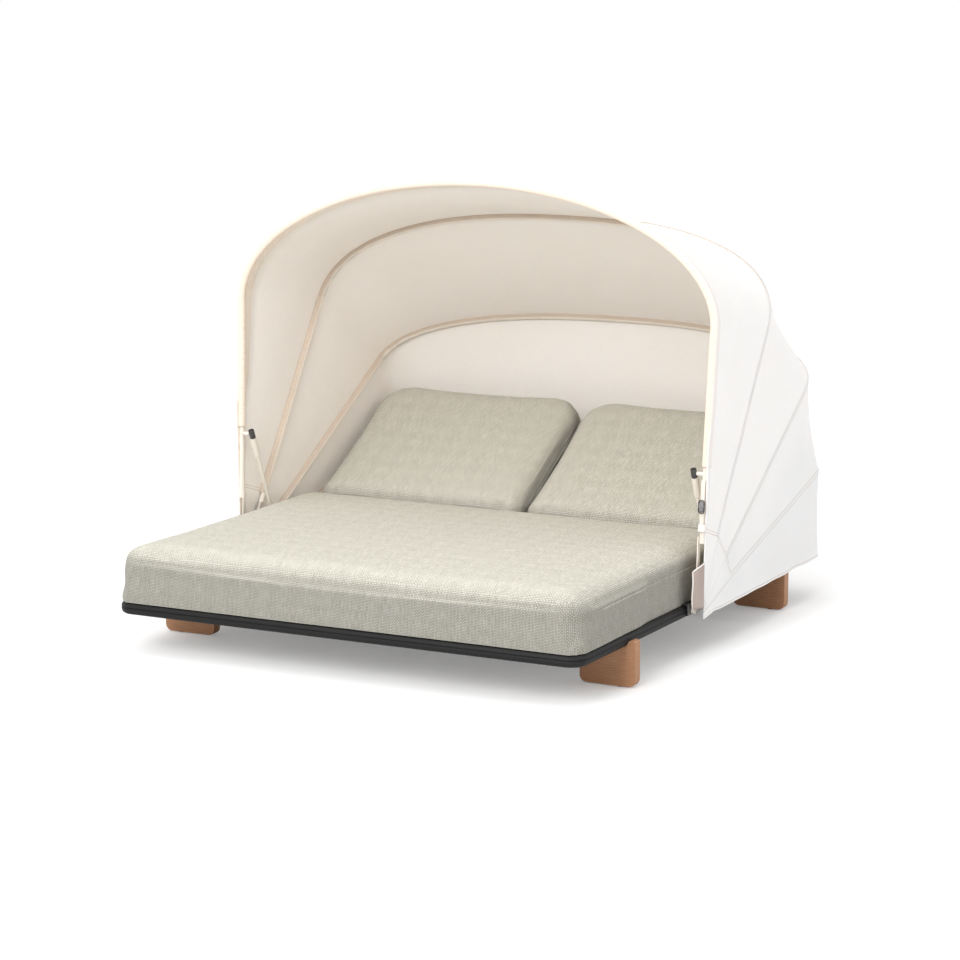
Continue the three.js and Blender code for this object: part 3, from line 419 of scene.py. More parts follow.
def webbing(name, colour):
    paint = Paint(name, colour, 0.85)
    place = paint.place()
    ribs = paint.node("TexWave", wave_type="BANDS", bands_direction="DIAGONAL")
    paint.link(place, ribs.inputs["Vector"])
    ribs.inputs["Scale"].default_value = 260
    tone = paint.ramp(ribs.outputs["Fac"], [(0.2, 0.88), (0.8, 1.0)])
    paint.colour(paint.mixed(1.0, (*colour, 1), tone, "MULTIPLY"))
    paint.bump(ribs.outputs["Fac"], 0.0005, 0.5)
    return paint.material


FRAME_PAINT = dark_paint()
CREAM = cream_paint()
FITTING = fitting_metal()
STEEL = brushed_steel()
PLASTIC = black_plastic()
TEAK = teak_wood()
SEAT = seat_weave("seat_fabric", (0.90, 0.885, 0.91))
BACK = seat_weave("back_fabric", (1.07, 1.08, 1.04))
# The fourth colour of each canvas is its stitch thread, darkened with painted groove shade.
OUTSIDE = canvas("canvas_outside", (0.885, 0.868, 0.852), (0.862, 0.845, 0.828), (0.60, 0.505, 0.43),
                 lines=(0.0080, -0.034), patch=True)
# Painted warm bounce light: the inner face is the outside's canvas, painted warmer and paler to stand for the warm
# light bounced under the hood.
INSIDE_PAINTED_BOUNCE = canvas("canvas_inside_painted_bounce", (0.94, 0.868, 0.80), (0.92, 0.845, 0.775), (0.70, 0.58, 0.47), patch=True, glow=0.6)
FACING = canvas("canvas_facing", (0.93, 0.82, 0.725), (0.89, 0.775, 0.68), (0.55, 0.43, 0.33), lines=(),
                puckers=0.0030)
BINDING = canvas("canvas_binding", (0.96, 0.865, 0.755), (0.93, 0.83, 0.715), (0.60, 0.47, 0.36),
                 lines=(0.0045,), glow=0.15)
HEM_INSIDE = canvas("canvas_hem_inside", (0.90, 0.78, 0.665), (0.86, 0.735, 0.62), (0.50, 0.39, 0.29), lines=(),
                    glow=0.0, puckers=0.0020)
RIM = canvas("canvas_rim", (0.85, 0.80, 0.765), (0.825, 0.775, 0.735), (0.66, 0.57, 0.48), lines=(), glow=0.0)
# Painted shade: the flap's beige is darkened as if it lay in shade.
FLAP_PAINTED_SHADE = canvas("canvas_flap_painted_shade", (0.44, 0.365, 0.33), (0.39, 0.32, 0.285), (0.30, 0.23, 0.19), lines=(), glow=0.0)
GREY_PLASTIC = grey_plastic()
STRAP = webbing("strap", (0.86, 0.79, 0.71))
TAB = webbing("strap_tab", (0.90, 0.86, 0.82))


# ---------------------------------------------------------------- CAD nodes

def finish_node(name, material, edge=0.0008):
    """A CAD piece keeps its shape and gets soft edges, smooth curves and its material."""
    piece = nodes[name]
    custom = piece.data.attributes.get("custom_normal")
    if custom:
        piece.data.attributes.remove(custom)
    piece.data.materials.clear()
    piece.data.materials.append(material)
    for face in piece.data.polygons:
        face.use_smooth = True
    weld = piece.modifiers.new("weld", "WELD")
    weld.merge_threshold = 1e-5
    soft = piece.modifiers.new("edges", "BEVEL")
    soft.width = edge
    soft.segments = 2
    soft.limit_method = "ANGLE"
    soft.angle_limit = math.radians(50)
    soft.harden_normals = True


FINISHES = {
    "rail_": (FRAME_PAINT, 0.0010), "beam_": (FRAME_PAINT, 0.0020), "seat_slat": (FRAME_PAINT, 0.0015),
    "foot_bolt": (STEEL, 0.0006), "foot_glide": (PLASTIC, 0.0006), "foot_": (TEAK, 0.0022),
    "canopy_pivot_pin": (STEEL, 0.0006), "canopy_bracket": (FITTING, 0.0010),
    "stay_bracket": (FITTING, 0.0008), "stay_rod": (CREAM, 0.0006), "stay_head": (FITTING, 0.0012),
    "stay_sleeve": (CREAM, 0.0012), "backrest_hinge_bracket": (FITTING, 0.0008),
    "backrest_hinge_rod": (STEEL, 0.0005), "backrest_rack": (FITTING, 0.0008),
    "backrest_frame": (FRAME_PAINT, 0.0012), "backrest_prop": (STEEL, 0.0005), "bow_": (CREAM, 0.0006),
}
for name in nodes:
    for start in sorted(FINISHES, key=len, reverse=True):
        if name.startswith(start):
            finish_node(name, *FINISHES[start])
            break


# ---------------------------------------------------------------- meshes

def add_mesh(name, points, faces, materials, slots=None):
    data = bpy.data.meshes.new(name)
    data.from_pydata([tuple(p) for p in points], [], faces)
    for material in materials:
        data.materials.append(material)
    if slots:
        data.polygons.foreach_set("material_index", slots)
    piece = bpy.data.objects.new(name, data)
    bpy.context.scene.collection.objects.link(piece)
    return piece


def tidy_normals(piece):
    body = bmesh.new()
    body.from_mesh(piece.data)
    bmesh.ops.recalc_face_normals(body, faces=body.faces)
    for face in body.faces:
        face.smooth = True
    body.to_mesh(piece.data)
    body.free()


def carry(piece, name, values):
    """Stores a vector for each point of the mesh."""
    layer = piece.data.attributes.new(name, "FLOAT_VECTOR", "POINT")
    layer.data.foreach_set("vector", [number for value in values for number in value])


def carry_rest(piece):
    carry(piece, "rest", [tuple(v.co) for v in piece.data.vertices])


def ring_tube(name, rings, material, closed=False):
    """A tube through rings of points, capped at both ends unless it is closed on itself."""
    count = len(rings[0])
    points = [p for ring in rings for p in ring]
    faces = []
    total = len(rings) if closed else len(rings) - 1
    for k in range(total):
        for i in range(count):
            a, b = k * count + i, k * count + (i + 1) % count
            c, d = ((k + 1) % len(rings)) * count + (i + 1) % count, ((k + 1) % len(rings)) * count + i
            faces.append((a, b, c, d))
    if not closed:
        faces.append(tuple(range(count))[::-1])
        faces.append(tuple((len(rings) - 1) * count + i for i in range(count)))
    piece = add_mesh(name, points, faces, [material])
    tidy_normals(piece)
    return piece


def path_tube(name, path, radius, material, sides=12, closed=False):
    """A round tube along a path of points."""
    rings = []
    last = None
    for i, place in enumerate(path):
        ahead = path[(i + 1) % len(path)] if closed or i + 1 < len(path) else place
        behind = path[i - 1] if closed or i else place
        along = (Vector(ahead) - Vector(behind)).normalized()
        side = last if last else (Vector((0, 0, 1)) if abs(along.z) < 0.9 else Vector((1, 0, 0)))
        side = (side - along * side.dot(along)).normalized()
        last = side
        up = along.cross(side)
        r = radius(i / (len(path) - 1)) if callable(radius) else radius
        rings.append([Vector(place) + r * (side * math.cos(a) + up * math.sin(a))
                      for a in (math.tau * k / sides for k in range(sides))])
    return ring_tube(name, rings, material, closed)


# ---------------------------------------------------------------- the bows' curves

def bow_profile(bow, share):
    if share <= 0.5:
        along = share * 2
        return mix(bow["foot"], bow["shoulder"], along ** 1.5), bow["leg"] * along
    turn = (share - 0.5) * math.pi
    power = 2 / bow["square"]
    across = bow["shoulder"] * max(math.cos(turn), 0) ** power
    return across, bow["leg"] + bow["rise"] * math.sin(turn) ** power


def bow_normal(bow, share):
    if share + 0.004 > 1:
        return 0.0, 1.0
    ax, ar = bow_profile(bow, max(share - 0.004, 0))
    bx, br = bow_profile(bow, share + 0.004)
    size = math.hypot(bx - ax, br - ar)
    return (br - ar) / size, -(bx - ax) / size


def bow_place(bow, share, sign, offset, forward=0.0):
    across, reach = bow_profile(bow, share)
    out_x, out_r = bow_normal(bow, share)
    lean = math.radians(bow["lean"])
    r = reach + offset * out_r
    return Vector((sign * (across + offset * out_x),
                   PIVOT_Y + r * math.sin(lean) - forward * math.cos(lean),
                   PIVOT_Z + r * math.cos(lean) + forward * math.sin(lean)))


def share_at(bow, reach):
    return reach / bow["leg"] / 2


LEG_MARKS = [0.0, 0.2, 0.4, 0.6, 0.8, 0.985, 1.0]
LEG_STEPS = 26
CROWN_STEPS = 30


def half_walk(bow, start):
    """Shares from a reach near the pivot up one leg to the crown, with a close pair at the patch's edge."""
    walk = [share_at(bow, mix(start, PATCH_REACH, mark)) for mark in LEG_MARKS]
    low = share_at(bow, PATCH_REACH + 0.003)
    walk += [mix(low, 0.5, i / LEG_STEPS) for i in range(LEG_STEPS)]
    walk += [mix(0.5, 1.0, i / CROWN_STEPS) for i in range(CROWN_STEPS)]
    return walk


def full_walk(bow, start):
    half = half_walk(bow, start)
    return [(s, 1) for s in half] + [(1.0, 1)] + [(s, -1) for s in reversed(half)]


def near_pivot(place, reach):
    """Low down, the cloth leaves the bows' line and runs straight down to the hem's width."""
    share = smooth(0.0, PATCH_REACH + 0.1, reach)
    sign = 1 if place.x > 0 else -1
    place.x = mix(sign * (HEM_X + 0.001), place.x, share)
    return place


def front_ahead(share):
    """How far the front edge lies ahead of the front bow: plumb low down, on the tube above."""
    bow = BOWS[0]
    reach = bow_profile(bow, share)[1]
    lean = math.radians(bow["lean"])
    plumb = (reach * math.sin(lean) - EDGE_SETBACK) / math.cos(lean)
    return mix(plumb, 0.0, smooth(SLEEVE_START, SLEEVE_FULL, reach))


def start_reach(bow):
    """Where the plumb front edge crosses the bow's own plane."""
    return EDGE_SETBACK / math.sin(math.radians(bow["lean"]))


def cloth_line(bow, start, ahead=None):
    """Outer places of the cloth along a bow with the direction towards its inner skin."""
    line = []
    for share, sign in full_walk(bow, start):
        forward = ahead(share) if ahead else 0.0
        reach = bow_profile(bow, share)[1]
        outer = near_pivot(bow_place(bow, share, sign, SKIN_OFFSET, forward), reach)
        inner = near_pivot(bow_place(bow, share, sign, SKIN_OFFSET - SKIN, forward), reach)
        inward = inner - outer
        if reach < PATCH_REACH:
            inward = Vector((-sign * SKIN, 0, 0))
        line.append((outer, inward.normalized(), reach))
    return line


def ripple(place, size, seed):
    return noise.noise(Vector((place.x * size, place.y * size, place.z * size + seed)))


def two_skins(name, grid, materials, lift, faced=0):
    """A closed cloth from a grid of (place, inward, cloth attributes): the outer skin, the inner skin and the edges.
    The first rows of the inner skin can carry a facing, which is a little thicker and has a material of its own."""
    rows, columns = len(grid), len(grid[0])
    flat = [entry for row in grid for entry in row]
    points = [place - inward * lift(cloth) for place, inward, cloth in flat]
    for r, row in enumerate(grid):
        thick = SKIN + (0.0014 if r < faced else 0.0)
        points += [place + inward * thick for place, inward, cloth in row]
    half = rows * columns
    faces, slots = [], []

    def at(skin, r, c):
        return skin * half + r * columns + c

    for r in range(rows - 1):
        for c in range(columns - 1):
            faces.append((at(0, r, c), at(0, r, c + 1), at(0, r + 1, c + 1), at(0, r + 1, c)))
            faces.append((at(1, r, c), at(1, r + 1, c), at(1, r + 1, c + 1), at(1, r, c + 1)))
            slots += [0, 2 if r < faced else 1]
    for r in (0, rows - 1):
        for c in range(columns - 1):
            faces.append((at(0, r, c), at(1, r, c), at(1, r, c + 1), at(0, r, c + 1)))
            slots.append(0)
    for c in (0, columns - 1):
        for r in range(rows - 1):
            faces.append((at(0, r, c), at(0, r + 1, c), at(1, r + 1, c), at(1, r, c)))
            slots.append(0)
    piece = add_mesh(name, points, faces, materials, slots)
    tidy_normals(piece)
    carry_rest(piece)
    carry(piece, "cloth", [cloth for place, inward, cloth in flat] * 2)
    return piece


ROW_MARKS = [0.0, 0.0035, 0.0065, 0.0090, 0.0110, 0.018, 0.034]
ROW_STEPS = 9


def row_shares(span, extra=()):
    """Rows across a panel: close to both seams at set distances, even between them."""
    near = [mark / span for mark in ROW_MARKS if mark < span * 0.35]
    front = near + [mark / span for mark in extra]
    middle = [mix(front[-1], 1 - near[-1], (i + 1) / (ROW_STEPS + 1)) for i in range(ROW_STEPS)]
    return front + middle + [1 - share for share in reversed(near)]


def seam_lift(cloth):
    """The felled seams and the patch stand a little proud of the cloth."""
    run, edge, reach = cloth
    felled = 0.0009 * (1 - smooth(0.0090, 0.0110, abs(edge)))
    patch = 0.0009 * (1 - smooth(PATCH_REACH - 0.001, PATCH_REACH + 0.002, reach))
    return max(felled, patch)


def runs(line):
    total = [0.0]
    for (a, _, _), (b, _, _) in zip(line, line[1:]):
        total.append(total[-1] + (b - a).length)
    return total


def panel_grid(front, rear, seed, span_guess, signed):
    """The skin between two bows' lines, drawn in between them, with faint wrinkles.
    The first panel's front half counts its distance from the edge below zero, for the hem's stitches."""
    shares = row_shares(span_guess, FACING_MARKS if signed else ())
    along = runs(rear)
    grid = []
    for share in shares:
        row = []
        for (a, in_a, reach_a), (b, in_b, reach_b), run in zip(front, rear, along):
            span = (b - a).length
            inward = in_a.lerp(in_b, share).normalized()
            place = a.lerp(b, share)
            sag = SAG_SHARE * span * bulge(share)
            wave = 0.0035 * ripple(place, 5.0, seed) * bulge(share) * smooth(0.1, 0.4, span)
            crease = 0.0012 * ripple(Vector((run * 9, share * 1.3, seed)), 1.0, 3.0) * bulge(share)
            place = place + inward * (sag + wave + crease)
            edge = min(share, 1 - share) * max(span, 1e-6)
            if signed and share < 0.5:
                edge = -edge
            reach = mix(reach_a, reach_b, share)
            row.append((place, inward, (run, edge, reach)))
        grid.append(row)
    return grid


def lean_of(place):
    return math.degrees(math.atan2(place.y - PIVOT_Y, place.z - PIVOT_Z))


def fan_blend(piece, front_bow, rear_bow, rows, columns):
    """Bakes the panel's placement into its points and works out each point's share between its two bows' leans; the
    share is not used further.
    """
    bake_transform(piece)
    low, high = front_bow["lean"], rear_bow["lean"]
    for i, vertex in enumerate(piece.data.vertices):
        row = (i % (rows * columns)) // columns
        share = (high - lean_of(vertex.co)) / (high - low)
        share = min(max(share, 0.0), 1.0)
        if row == 0:
            share = 1.0
        if row == rows - 1:
            share = 0.0


def make_panel(index, seed, span_guess, flat, area):
    front, rear = BOWS[index], BOWS[index + 1]
    if index:
        line_a = cloth_line(front, start_reach(front))
    else:
        line_a = cloth_line(front, FRONT_START, front_ahead)
    line_b = cloth_line(rear, start_reach(rear))
    grid = panel_grid(line_a, line_b, seed, span_guess, index == 0)
    faced = len(ROW_MARKS) + len(FACING_MARKS) - 1 if index == 0 else 0
    piece = two_skins(f"hood_panel_{index + 1}", grid, [OUTSIDE, INSIDE_PAINTED_BOUNCE, FACING], seam_lift, faced)
    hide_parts(f"canopy_panel_{index + 1}")
    fan_blend(piece, front, rear, len(grid), len(grid[0]))


for hood_part in ((0, 1.0, 0.70, (4.60, 0.80), 2.05), (1, 7.0, 0.60, (4.50, 0.72), 1.95),
                  (2, 13.0, 0.38, (4.40, 0.50), 1.30)):
    make_panel(*hood_part)


# ---------------------------------------------------------------- the skirt

def hem_walk(side_share, back_share):
    front_y = PIVOT_Y + EDGE_SETBACK
    back_y, round_by = HEM_REAR_Y, HEM_ROUND
    if side_share < 1:
        return HEM_X, mix(front_y, back_y - round_by, side_share), 1.0, 0.0
    turn = round_by * math.pi / 2
    along = back_share * (turn + HEM_X - round_by)
    if along > turn:
        return HEM_X - round_by - (along - turn), back_y, 0.0, 1.0
    angle = along / round_by
    return (HEM_X - round_by + round_by * math.cos(angle),
            back_y - round_by + round_by * math.sin(angle), math.cos(angle), math.sin(angle))


def hem_line(ridge):
    half = (len(ridge) - 1) // 2
    shoulder = half - CROWN_STEPS
    front_y = ridge[0][0].y
    side_run = ridge[shoulder][0].y - front_y
    walked = runs(ridge)
    back_run = walked[half] - walked[shoulder]
    line = []
    for i in range(len(ridge)):
        step = min(i, len(ridge) - 1 - i)
        sign = 1 if i <= half else -1
        side = min((ridge[step][0].y - front_y) / side_run, 1.0)
        back = (walked[step] - walked[shoulder]) / back_run if step > shoulder else 0.0
        x, y, out_x, out_y = hem_walk(side if step < shoulder else 1.0, back)
        z = mix(HEM_FRONT_Z, HEM_REAR_Z, (y - front_y) / (HEM_REAR_Y - front_y))
        corner = y - front_y if side < 1 and step < shoulder else 1.0
        z += 0.005 * smooth(0.02, 0.06, corner) * (1 - smooth(0.06, 0.16, corner)) - 0.007 * math.exp(-corner / 0.02)
        x += 0.006 * math.sin(min(corner / 0.09, 1.0) * math.pi)
        line.append((Vector((sign * x, y, z)), Vector((-sign * out_x, -out_y, 0)), ridge[i][2]))
    return line


def skirt_grid():
    """From the rear bow down to the hem, with soft folds that grow towards the hem."""
    bow = BOWS[3]
    ridge = cloth_line(bow, start_reach(bow))
    hem = hem_line(ridge)
    along = runs(hem)
    grid = []
    shares = row_shares(0.30)
    for share in shares:
        row = []
        for (a, in_a, reach), (b, in_b, _), run in zip(ridge, hem, along):
            span = (b - a).length
            inward = in_a.lerp(in_b, share).normalized()
            place = a.lerp(b, share)
            tall = smooth(0.05, 0.30, span)
            fold = 0.010 * share ** 2 * noise.noise(Vector((run * 4.2, 0.0, 3.0)))
            wave = 0.0030 * share ** 2 * math.sin(run * 31.0 + 2.0 * noise.noise(Vector((run * 2, 9, 1))))
            drop = 0.004 * bulge(share) * tall
            place = place + inward * (drop + (fold + wave) * tall)
            edge = min(share, 1 - share) * max(span, 1e-6)
            row.append((place, inward, (run, edge, 1.0)))
        grid.append(row)
    return grid


SKIRT_GRID = skirt_grid()
skirt = two_skins("hood_skirt", SKIRT_GRID, [OUTSIDE, INSIDE_PAINTED_BOUNCE], seam_lift)
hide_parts("canopy_skirt")
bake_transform(skirt)
for i, vertex in enumerate(skirt.data.vertices):
    row = (i % (len(SKIRT_GRID) * len(SKIRT_GRID[0]))) // len(SKIRT_GRID[0])
    share = min(max((90.0 - lean_of(vertex.co)) / (90.0 - BOWS[3]["lean"]), 0.0), 1.0)
    share = 1.0 if row == 0 else share


# ---------------------------------------------------------------- sleeves on the bows

def even_walk(bow, start, step):
    """Shares of a bow at even distances, from a reach over the crown to the same reach."""
    fine = [mix(share_at(bow, start), 1.0, i / 900) for i in range(901)]
    points = [bow_place(bow, s, 1, 0.0) for s in fine]
    total = [0.0]
    for a, b in zip(points, points[1:]):
        total.append(total[-1] + (b - a).length)
    count = max(int(total[-1] / step), 2)
    picked, k = [], 0
    for i in range(count + 1):
        goal = total[-1] * i / count
        while k < len(total) - 2 and total[k + 1] < goal:
            k += 1
        gap = total[k + 1] - total[k]
        picked.append((mix(fine[k], fine[k + 1], (goal - total[k]) / gap if gap else 0.0), goal))
    full = [(s, 1, run) for s, run in picked]
    full += [(s, -1, 2 * total[-1] - run) for s, run in reversed(picked[:-1])]
    return full


def bow_axes(bow, share, sign):
    lean = math.radians(bow["lean"])
    out_x, out_r = bow_normal(bow, share)
    outward = Vector((sign * out_x, out_r * math.sin(lean), out_r * math.cos(lean)))
    forward = Vector((0, -math.cos(lean), math.sin(lean)))
    return bow_place(bow, share, sign, 0.0), outward, forward


def bow_sleeve(index, start):
    """A binding sewn round the bow under the cloth, with a stitched flange at each side."""
    bow = BOWS[index]
    section = [(-0.0135, 0.0112), (-0.0115, 0.0106), (-0.0112, 0.004)]
    section += [(0.0114 * math.sin(math.radians(a)), -0.0114 * math.cos(math.radians(a)))
                for a in (-72, -54, -36, -18, 0, 18, 36, 54, 72)]
    section += [(0.0112, 0.004), (0.0115, 0.0106), (0.0135, 0.0112)]
    points, cloths, faces = [], [], []
    walk = even_walk(bow, start, 0.016)
    count = len(section)
    for skin in (0.0, 1.0):
        for share, sign, run in walk:
            centre, outward, forward = bow_axes(bow, share, sign)
            puck = 1 + 0.018 * noise.noise(Vector((run * 60, 0, index)))
            for k, (f, n) in enumerate(section):
                inset = 1.0 - 0.09 * skin
                points.append(centre + forward * f * inset * puck + outward * (n * inset * puck + 0.0006 * skin))
                cloths.append((run, abs(abs(f) - 0.0125) * 0.4 + 0.004, 1.0))
    total = len(walk) * count

    def at(skin, r, c):
        return skin * total + r * count + c

    for r in range(len(walk) - 1):
        for c in range(count - 1):
            faces.append((at(0, r, c), at(0, r, c + 1), at(0, r + 1, c + 1), at(0, r + 1, c)))
            faces.append((at(1, r, c), at(1, r + 1, c), at(1, r + 1, c + 1), at(1, r, c + 1)))
        faces.append((at(0, r, 0), at(0, r + 1, 0), at(1, r + 1, 0), at(1, r, 0)))
        faces.append((at(0, r, count - 1), at(1, r, count - 1), at(1, r + 1, count - 1), at(0, r + 1, count - 1)))
    for r in (0, len(walk) - 1):
        for c in range(count - 1):
            faces.append((at(0, r, c), at(1, r, c), at(1, r, c + 1), at(0, r, c + 1)))
    piece = add_mesh(f"bow_sleeve_{index + 1}", points, faces, [BINDING])
    tidy_normals(piece)
    carry_rest(piece)
    carry(piece, "cloth", cloths)
    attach(piece, bow["body"])


bow_sleeve(1, 0.275)
bow_sleeve(2, 0.275)
bow_sleeve(3, 0.275)


def hood_rim():
    """The front hem: cloth wrapped round the front bow and sewn down behind it, puckered at its stitches."""
    bow = BOWS[0]
    walk = even_walk(bow, RIM_START, 0.0045)
    rear = BOWS[1]
    turn = [(0.0140 * math.sin(math.radians(a)), 0.0012 + 0.0140 * math.cos(math.radians(a)))
            for a in range(0, 181, 15)]
    head = [(-0.0125, 0.0146), (-0.0105, 0.0158), (-0.004, 0.0156)]
    points, cloths = [], []
    for share, sign, run in walk:
        centre, outward, forward = bow_axes(bow, share, sign)
        rear_share = share if share > 0.5 else share
        a = bow_place(bow, share, sign, SKIN_OFFSET)
        b = bow_place(rear, rear_share, sign, SKIN_OFFSET)
        span = (b - a).length
        t = 0.020 / span
        in_a, in_b = -outward, bow_axes(rear, rear_share, sign)[1] * -1
        inward = in_a.lerp(in_b, t).normalized()
        end = a.lerp(b, t) + inward * (SAG_SHARE * span * bulge(t) + SKIN + 0.0006)
        start_point = centre + forward * turn[-1][0] + outward * turn[-1][1]
        pucker = 0.0011 * math.sin(run * 420 + 3 * noise.noise(Vector((run * 25, 0, 0))))
        pucker *= 0.6 + 0.8 * abs(noise.noise(Vector((run * 8, 4, 0))))
        flap = []
        for k in range(1, 9):
            s = k / 8
            lean_in = 0.0030 * bulge(s)
            place = start_point.lerp(end, s) - outward * lean_in
            place += outward * pucker * smooth(0.15, 0.75, s) * (1 - smooth(0.9, 1.0, s) * 0.7)
            flap.append((place, 0.020 * (1 - s)))
        for k, (f, n) in enumerate(head):
            points.append(centre + forward * f + outward * n)
            cloths.append((run, 0.0125 + f if k < 2 else 0.02, 1.0))
        for f, n in turn:
            points.append(centre + forward * f + outward * n)
            cloths.append((run, 0.03, 1.0))
        for place, edge in flap:
            points.append(place)
            cloths.append((run, edge, 1.0))
    count = len(head) + len(turn) + 8
    body = bmesh.new()
    corners = [body.verts.new(p) for p in points]
    for r in range(len(walk) - 1):
        for c in range(count - 1):
            quad = (r * count + c, r * count + c + 1, (r + 1) * count + c + 1, (r + 1) * count + c)
            face = body.faces.new([corners[i] for i in quad])
            face.material_index = 0 if c < len(head) + 3 else 1
            face.smooth = True
    data = bpy.data.meshes.new("hood_rim")
    body.to_mesh(data)
    body.free()
    data.materials.append(RIM)
    data.materials.append(HEM_INSIDE)
    piece = bpy.data.objects.new("hood_rim", data)
    bpy.context.scene.collection.objects.link(piece)
    carry_rest(piece)
    carry(piece, "cloth", cloths)
    thick = piece.modifiers.new("thick", "SOLIDIFY")
    thick.thickness = 0.0011
    thick.offset = 0.0
    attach(piece, "front_bow")


hood_rim()


# ---------------------------------------------------------------- small parts at the hood's front edges

def ribbon(name, rows, thickness, material):
    """A closed strip of cloth: each row is a list of places across it, and the strip is that much thick."""
    count = len(rows[0])
    body = bmesh.new()
    corners = [[body.verts.new(place) for place in row] for row in rows]
    for first, second in zip(corners, corners[1:]):
        for i in range(count - 1):
            face = body.faces.new((first[i], first[i + 1], second[i + 1], second[i]))
            face.smooth = True
    data = bpy.data.meshes.new(name)
    body.to_mesh(data)
    body.free()
    data.materials.append(material)
    piece = bpy.data.objects.new(name, data)
    bpy.context.scene.collection.objects.link(piece)
    carry_rest(piece)
    carry(piece, "cloth", [(0.001 * i, 0.5, 1.0) for i in range(len(data.vertices))])
    thick = piece.modifiers.new("thick", "SOLIDIFY")
    thick.thickness = thickness
    thick.offset = 0.0
    return piece


FLAP_PLAN = [(0.9452, -0.2045), (0.9462, -0.2150), (0.9462, -0.2280), (0.9445, -0.2420),
             (0.9405, -0.2530), (0.9350, -0.2600), (0.9290, -0.2640)]


def flap_height(share):
    return 0.330 - 0.022 * share ** 2, 0.174 + 0.004 * share


def foot_flap(side, sign):
    """The beige flap that hangs over the pivot at the hood's front edge, bound along its free edges; its beige is
    darkened with painted shade.
    """
    rows = []
    for i, (x, y) in enumerate(FLAP_PLAN):
        share = i / (len(FLAP_PLAN) - 1)
        top, low = flap_height(share)
        row = []
        for k in range(15):
            rise = k / 14
            sway = 0.0016 * math.sin(rise * 7 + share * 3) * share
            row.append(Vector((sign * (x + sway), y - 0.003 * bulge(rise) * share, mix(low, top, rise))))
        rows.append(row)
    piece = ribbon(f"foot_flap_{side}", rows, 0.0016, FLAP_PAINTED_SHADE)
    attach(piece, "base")
    edge = [row[-1] for row in rows] + [place for place in reversed(rows[-1][:-1])]
    piping = path_tube(f"flap_piping_{side}", edge, 0.0024, TAB, sides=10)
    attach(piping, "base")


def front_of_tube(reach, sign, ahead, across):
    """A place in front of the front bow at a reach from the pivot: ahead of its axis and across it."""
    bow = BOWS[0]
    centre, outward, forward = bow_axes(bow, share_at(bow, reach), sign)
    return centre + forward * ahead + outward * across


def hanging_strap(side, sign):
    """A strap from the catch down the front of the bow, through a buckle and a loop round the tube."""
    rows = []
    for i in range(25):
        share = i / 24
        reach = mix(0.462, 0.300, share)
        ahead = 0.0128 + 0.0035 * bulge(share) + 0.0012 * math.sin(share * 13)
        rows.append([front_of_tube(reach, sign, ahead - 0.0006 * abs(k - 2), (k - 2) * 0.0040) for k in range(5)])
    piece = ribbon(f"front_strap_{side}", rows, 0.0016, STRAP)
    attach(piece, "front_bow")


def ring_of(reach, sign, size_out, size_ahead, count=40):
    """A rounded ring round the tube at a reach, with the half sizes of its sides."""
    places = []
    for i in range(count):
        angle = math.tau * i / count
        c, n = math.cos(angle), math.sin(angle)
        ahead = size_ahead * math.copysign(abs(c) ** 0.7, c)
        out = size_out * math.copysign(abs(n) ** 0.7, n)
        places.append((ahead + 0.0022, out))
    return [front_of_tube(reach, sign, ahead, out) for ahead, out in places]


def strap_loop(side, sign):
    """The pale loop that holds the strap's end to the tube."""
    rings = []
    for reach in (0.280, 0.282, 0.287, 0.293, 0.299, 0.304, 0.306):
        ease = 0.0006 if reach in (0.280, 0.306) else 0.0
        rings.append(ring_of(reach, sign, 0.0130 - ease, 0.0148 - ease))
    count = len(rings[0])
    rows = [[ring[i % count] for ring in rings] for i in range(count + 1)]
    body = bmesh.new()
    corners = [[body.verts.new(place) for place in row] for row in rows[:-1]]
    for i, first in enumerate(corners):
        second = corners[(i + 1) % count]
        for k in range(len(rings) - 1):
            body.faces.new((first[k], first[k + 1], second[k + 1], second[k])).smooth = True
    data = bpy.data.meshes.new(f"strap_loop_{side}")
    body.to_mesh(data)
    body.free()
    data.materials.append(TAB)
    piece = bpy.data.objects.new(f"strap_loop_{side}", data)
    bpy.context.scene.collection.objects.link(piece)
    thick = piece.modifiers.new("thick", "SOLIDIFY")
    thick.thickness = 0.0018
    thick.offset = 0.0
    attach(piece, "front_bow")


def buckle(side, sign):
    """A dark frame with a grey bar across it, threaded by the strap."""
    middle, half_long, half_wide = 0.368, 0.022, 0.0105
    frame_path = []
    for i in range(36):
        angle = math.tau * i / 36
        c, n = math.cos(angle), math.sin(angle)
        along = half_long * math.copysign(abs(c) ** 0.45, c)
        across = half_wide * math.copysign(abs(n) ** 0.45, n)
        frame_path.append(front_of_tube(middle + along, sign, 0.0215, across))
    outline = path_tube(f"buckle_frame_{side}", frame_path, 0.0022, FITTING, sides=10, closed=True)
    bar_path = [front_of_tube(middle + 0.002 * math.sin(k), sign, 0.0215 + 0.0012 * bulge(k / 8), mix(-half_wide, half_wide, k / 8))
                for k in range(9)]
    bar = path_tube(f"buckle_bar_{side}", bar_path, lambda share: 0.0030 - 0.0008 * bulge(share), GREY_PLASTIC, sides=10)
    tongue = ribbon(f"buckle_tongue_{side}", [[front_of_tube(middle + mix(-0.017, 0.017, i / 10), sign,
                    0.0195 + 0.0022 * bulge(i / 10), (k - 3) * 0.0028) for k in range(7)] for i in range(11)],
                    0.0022, GREY_PLASTIC)
    for part in (outline, bar, tongue):
        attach(part, "front_bow")


foot_flap("left", -1)
foot_flap("right", 1)
hanging_strap("right", 1)
strap_loop("right", 1)
buckle("right", 1)


# ---------------------------------------------------------------- padded pieces

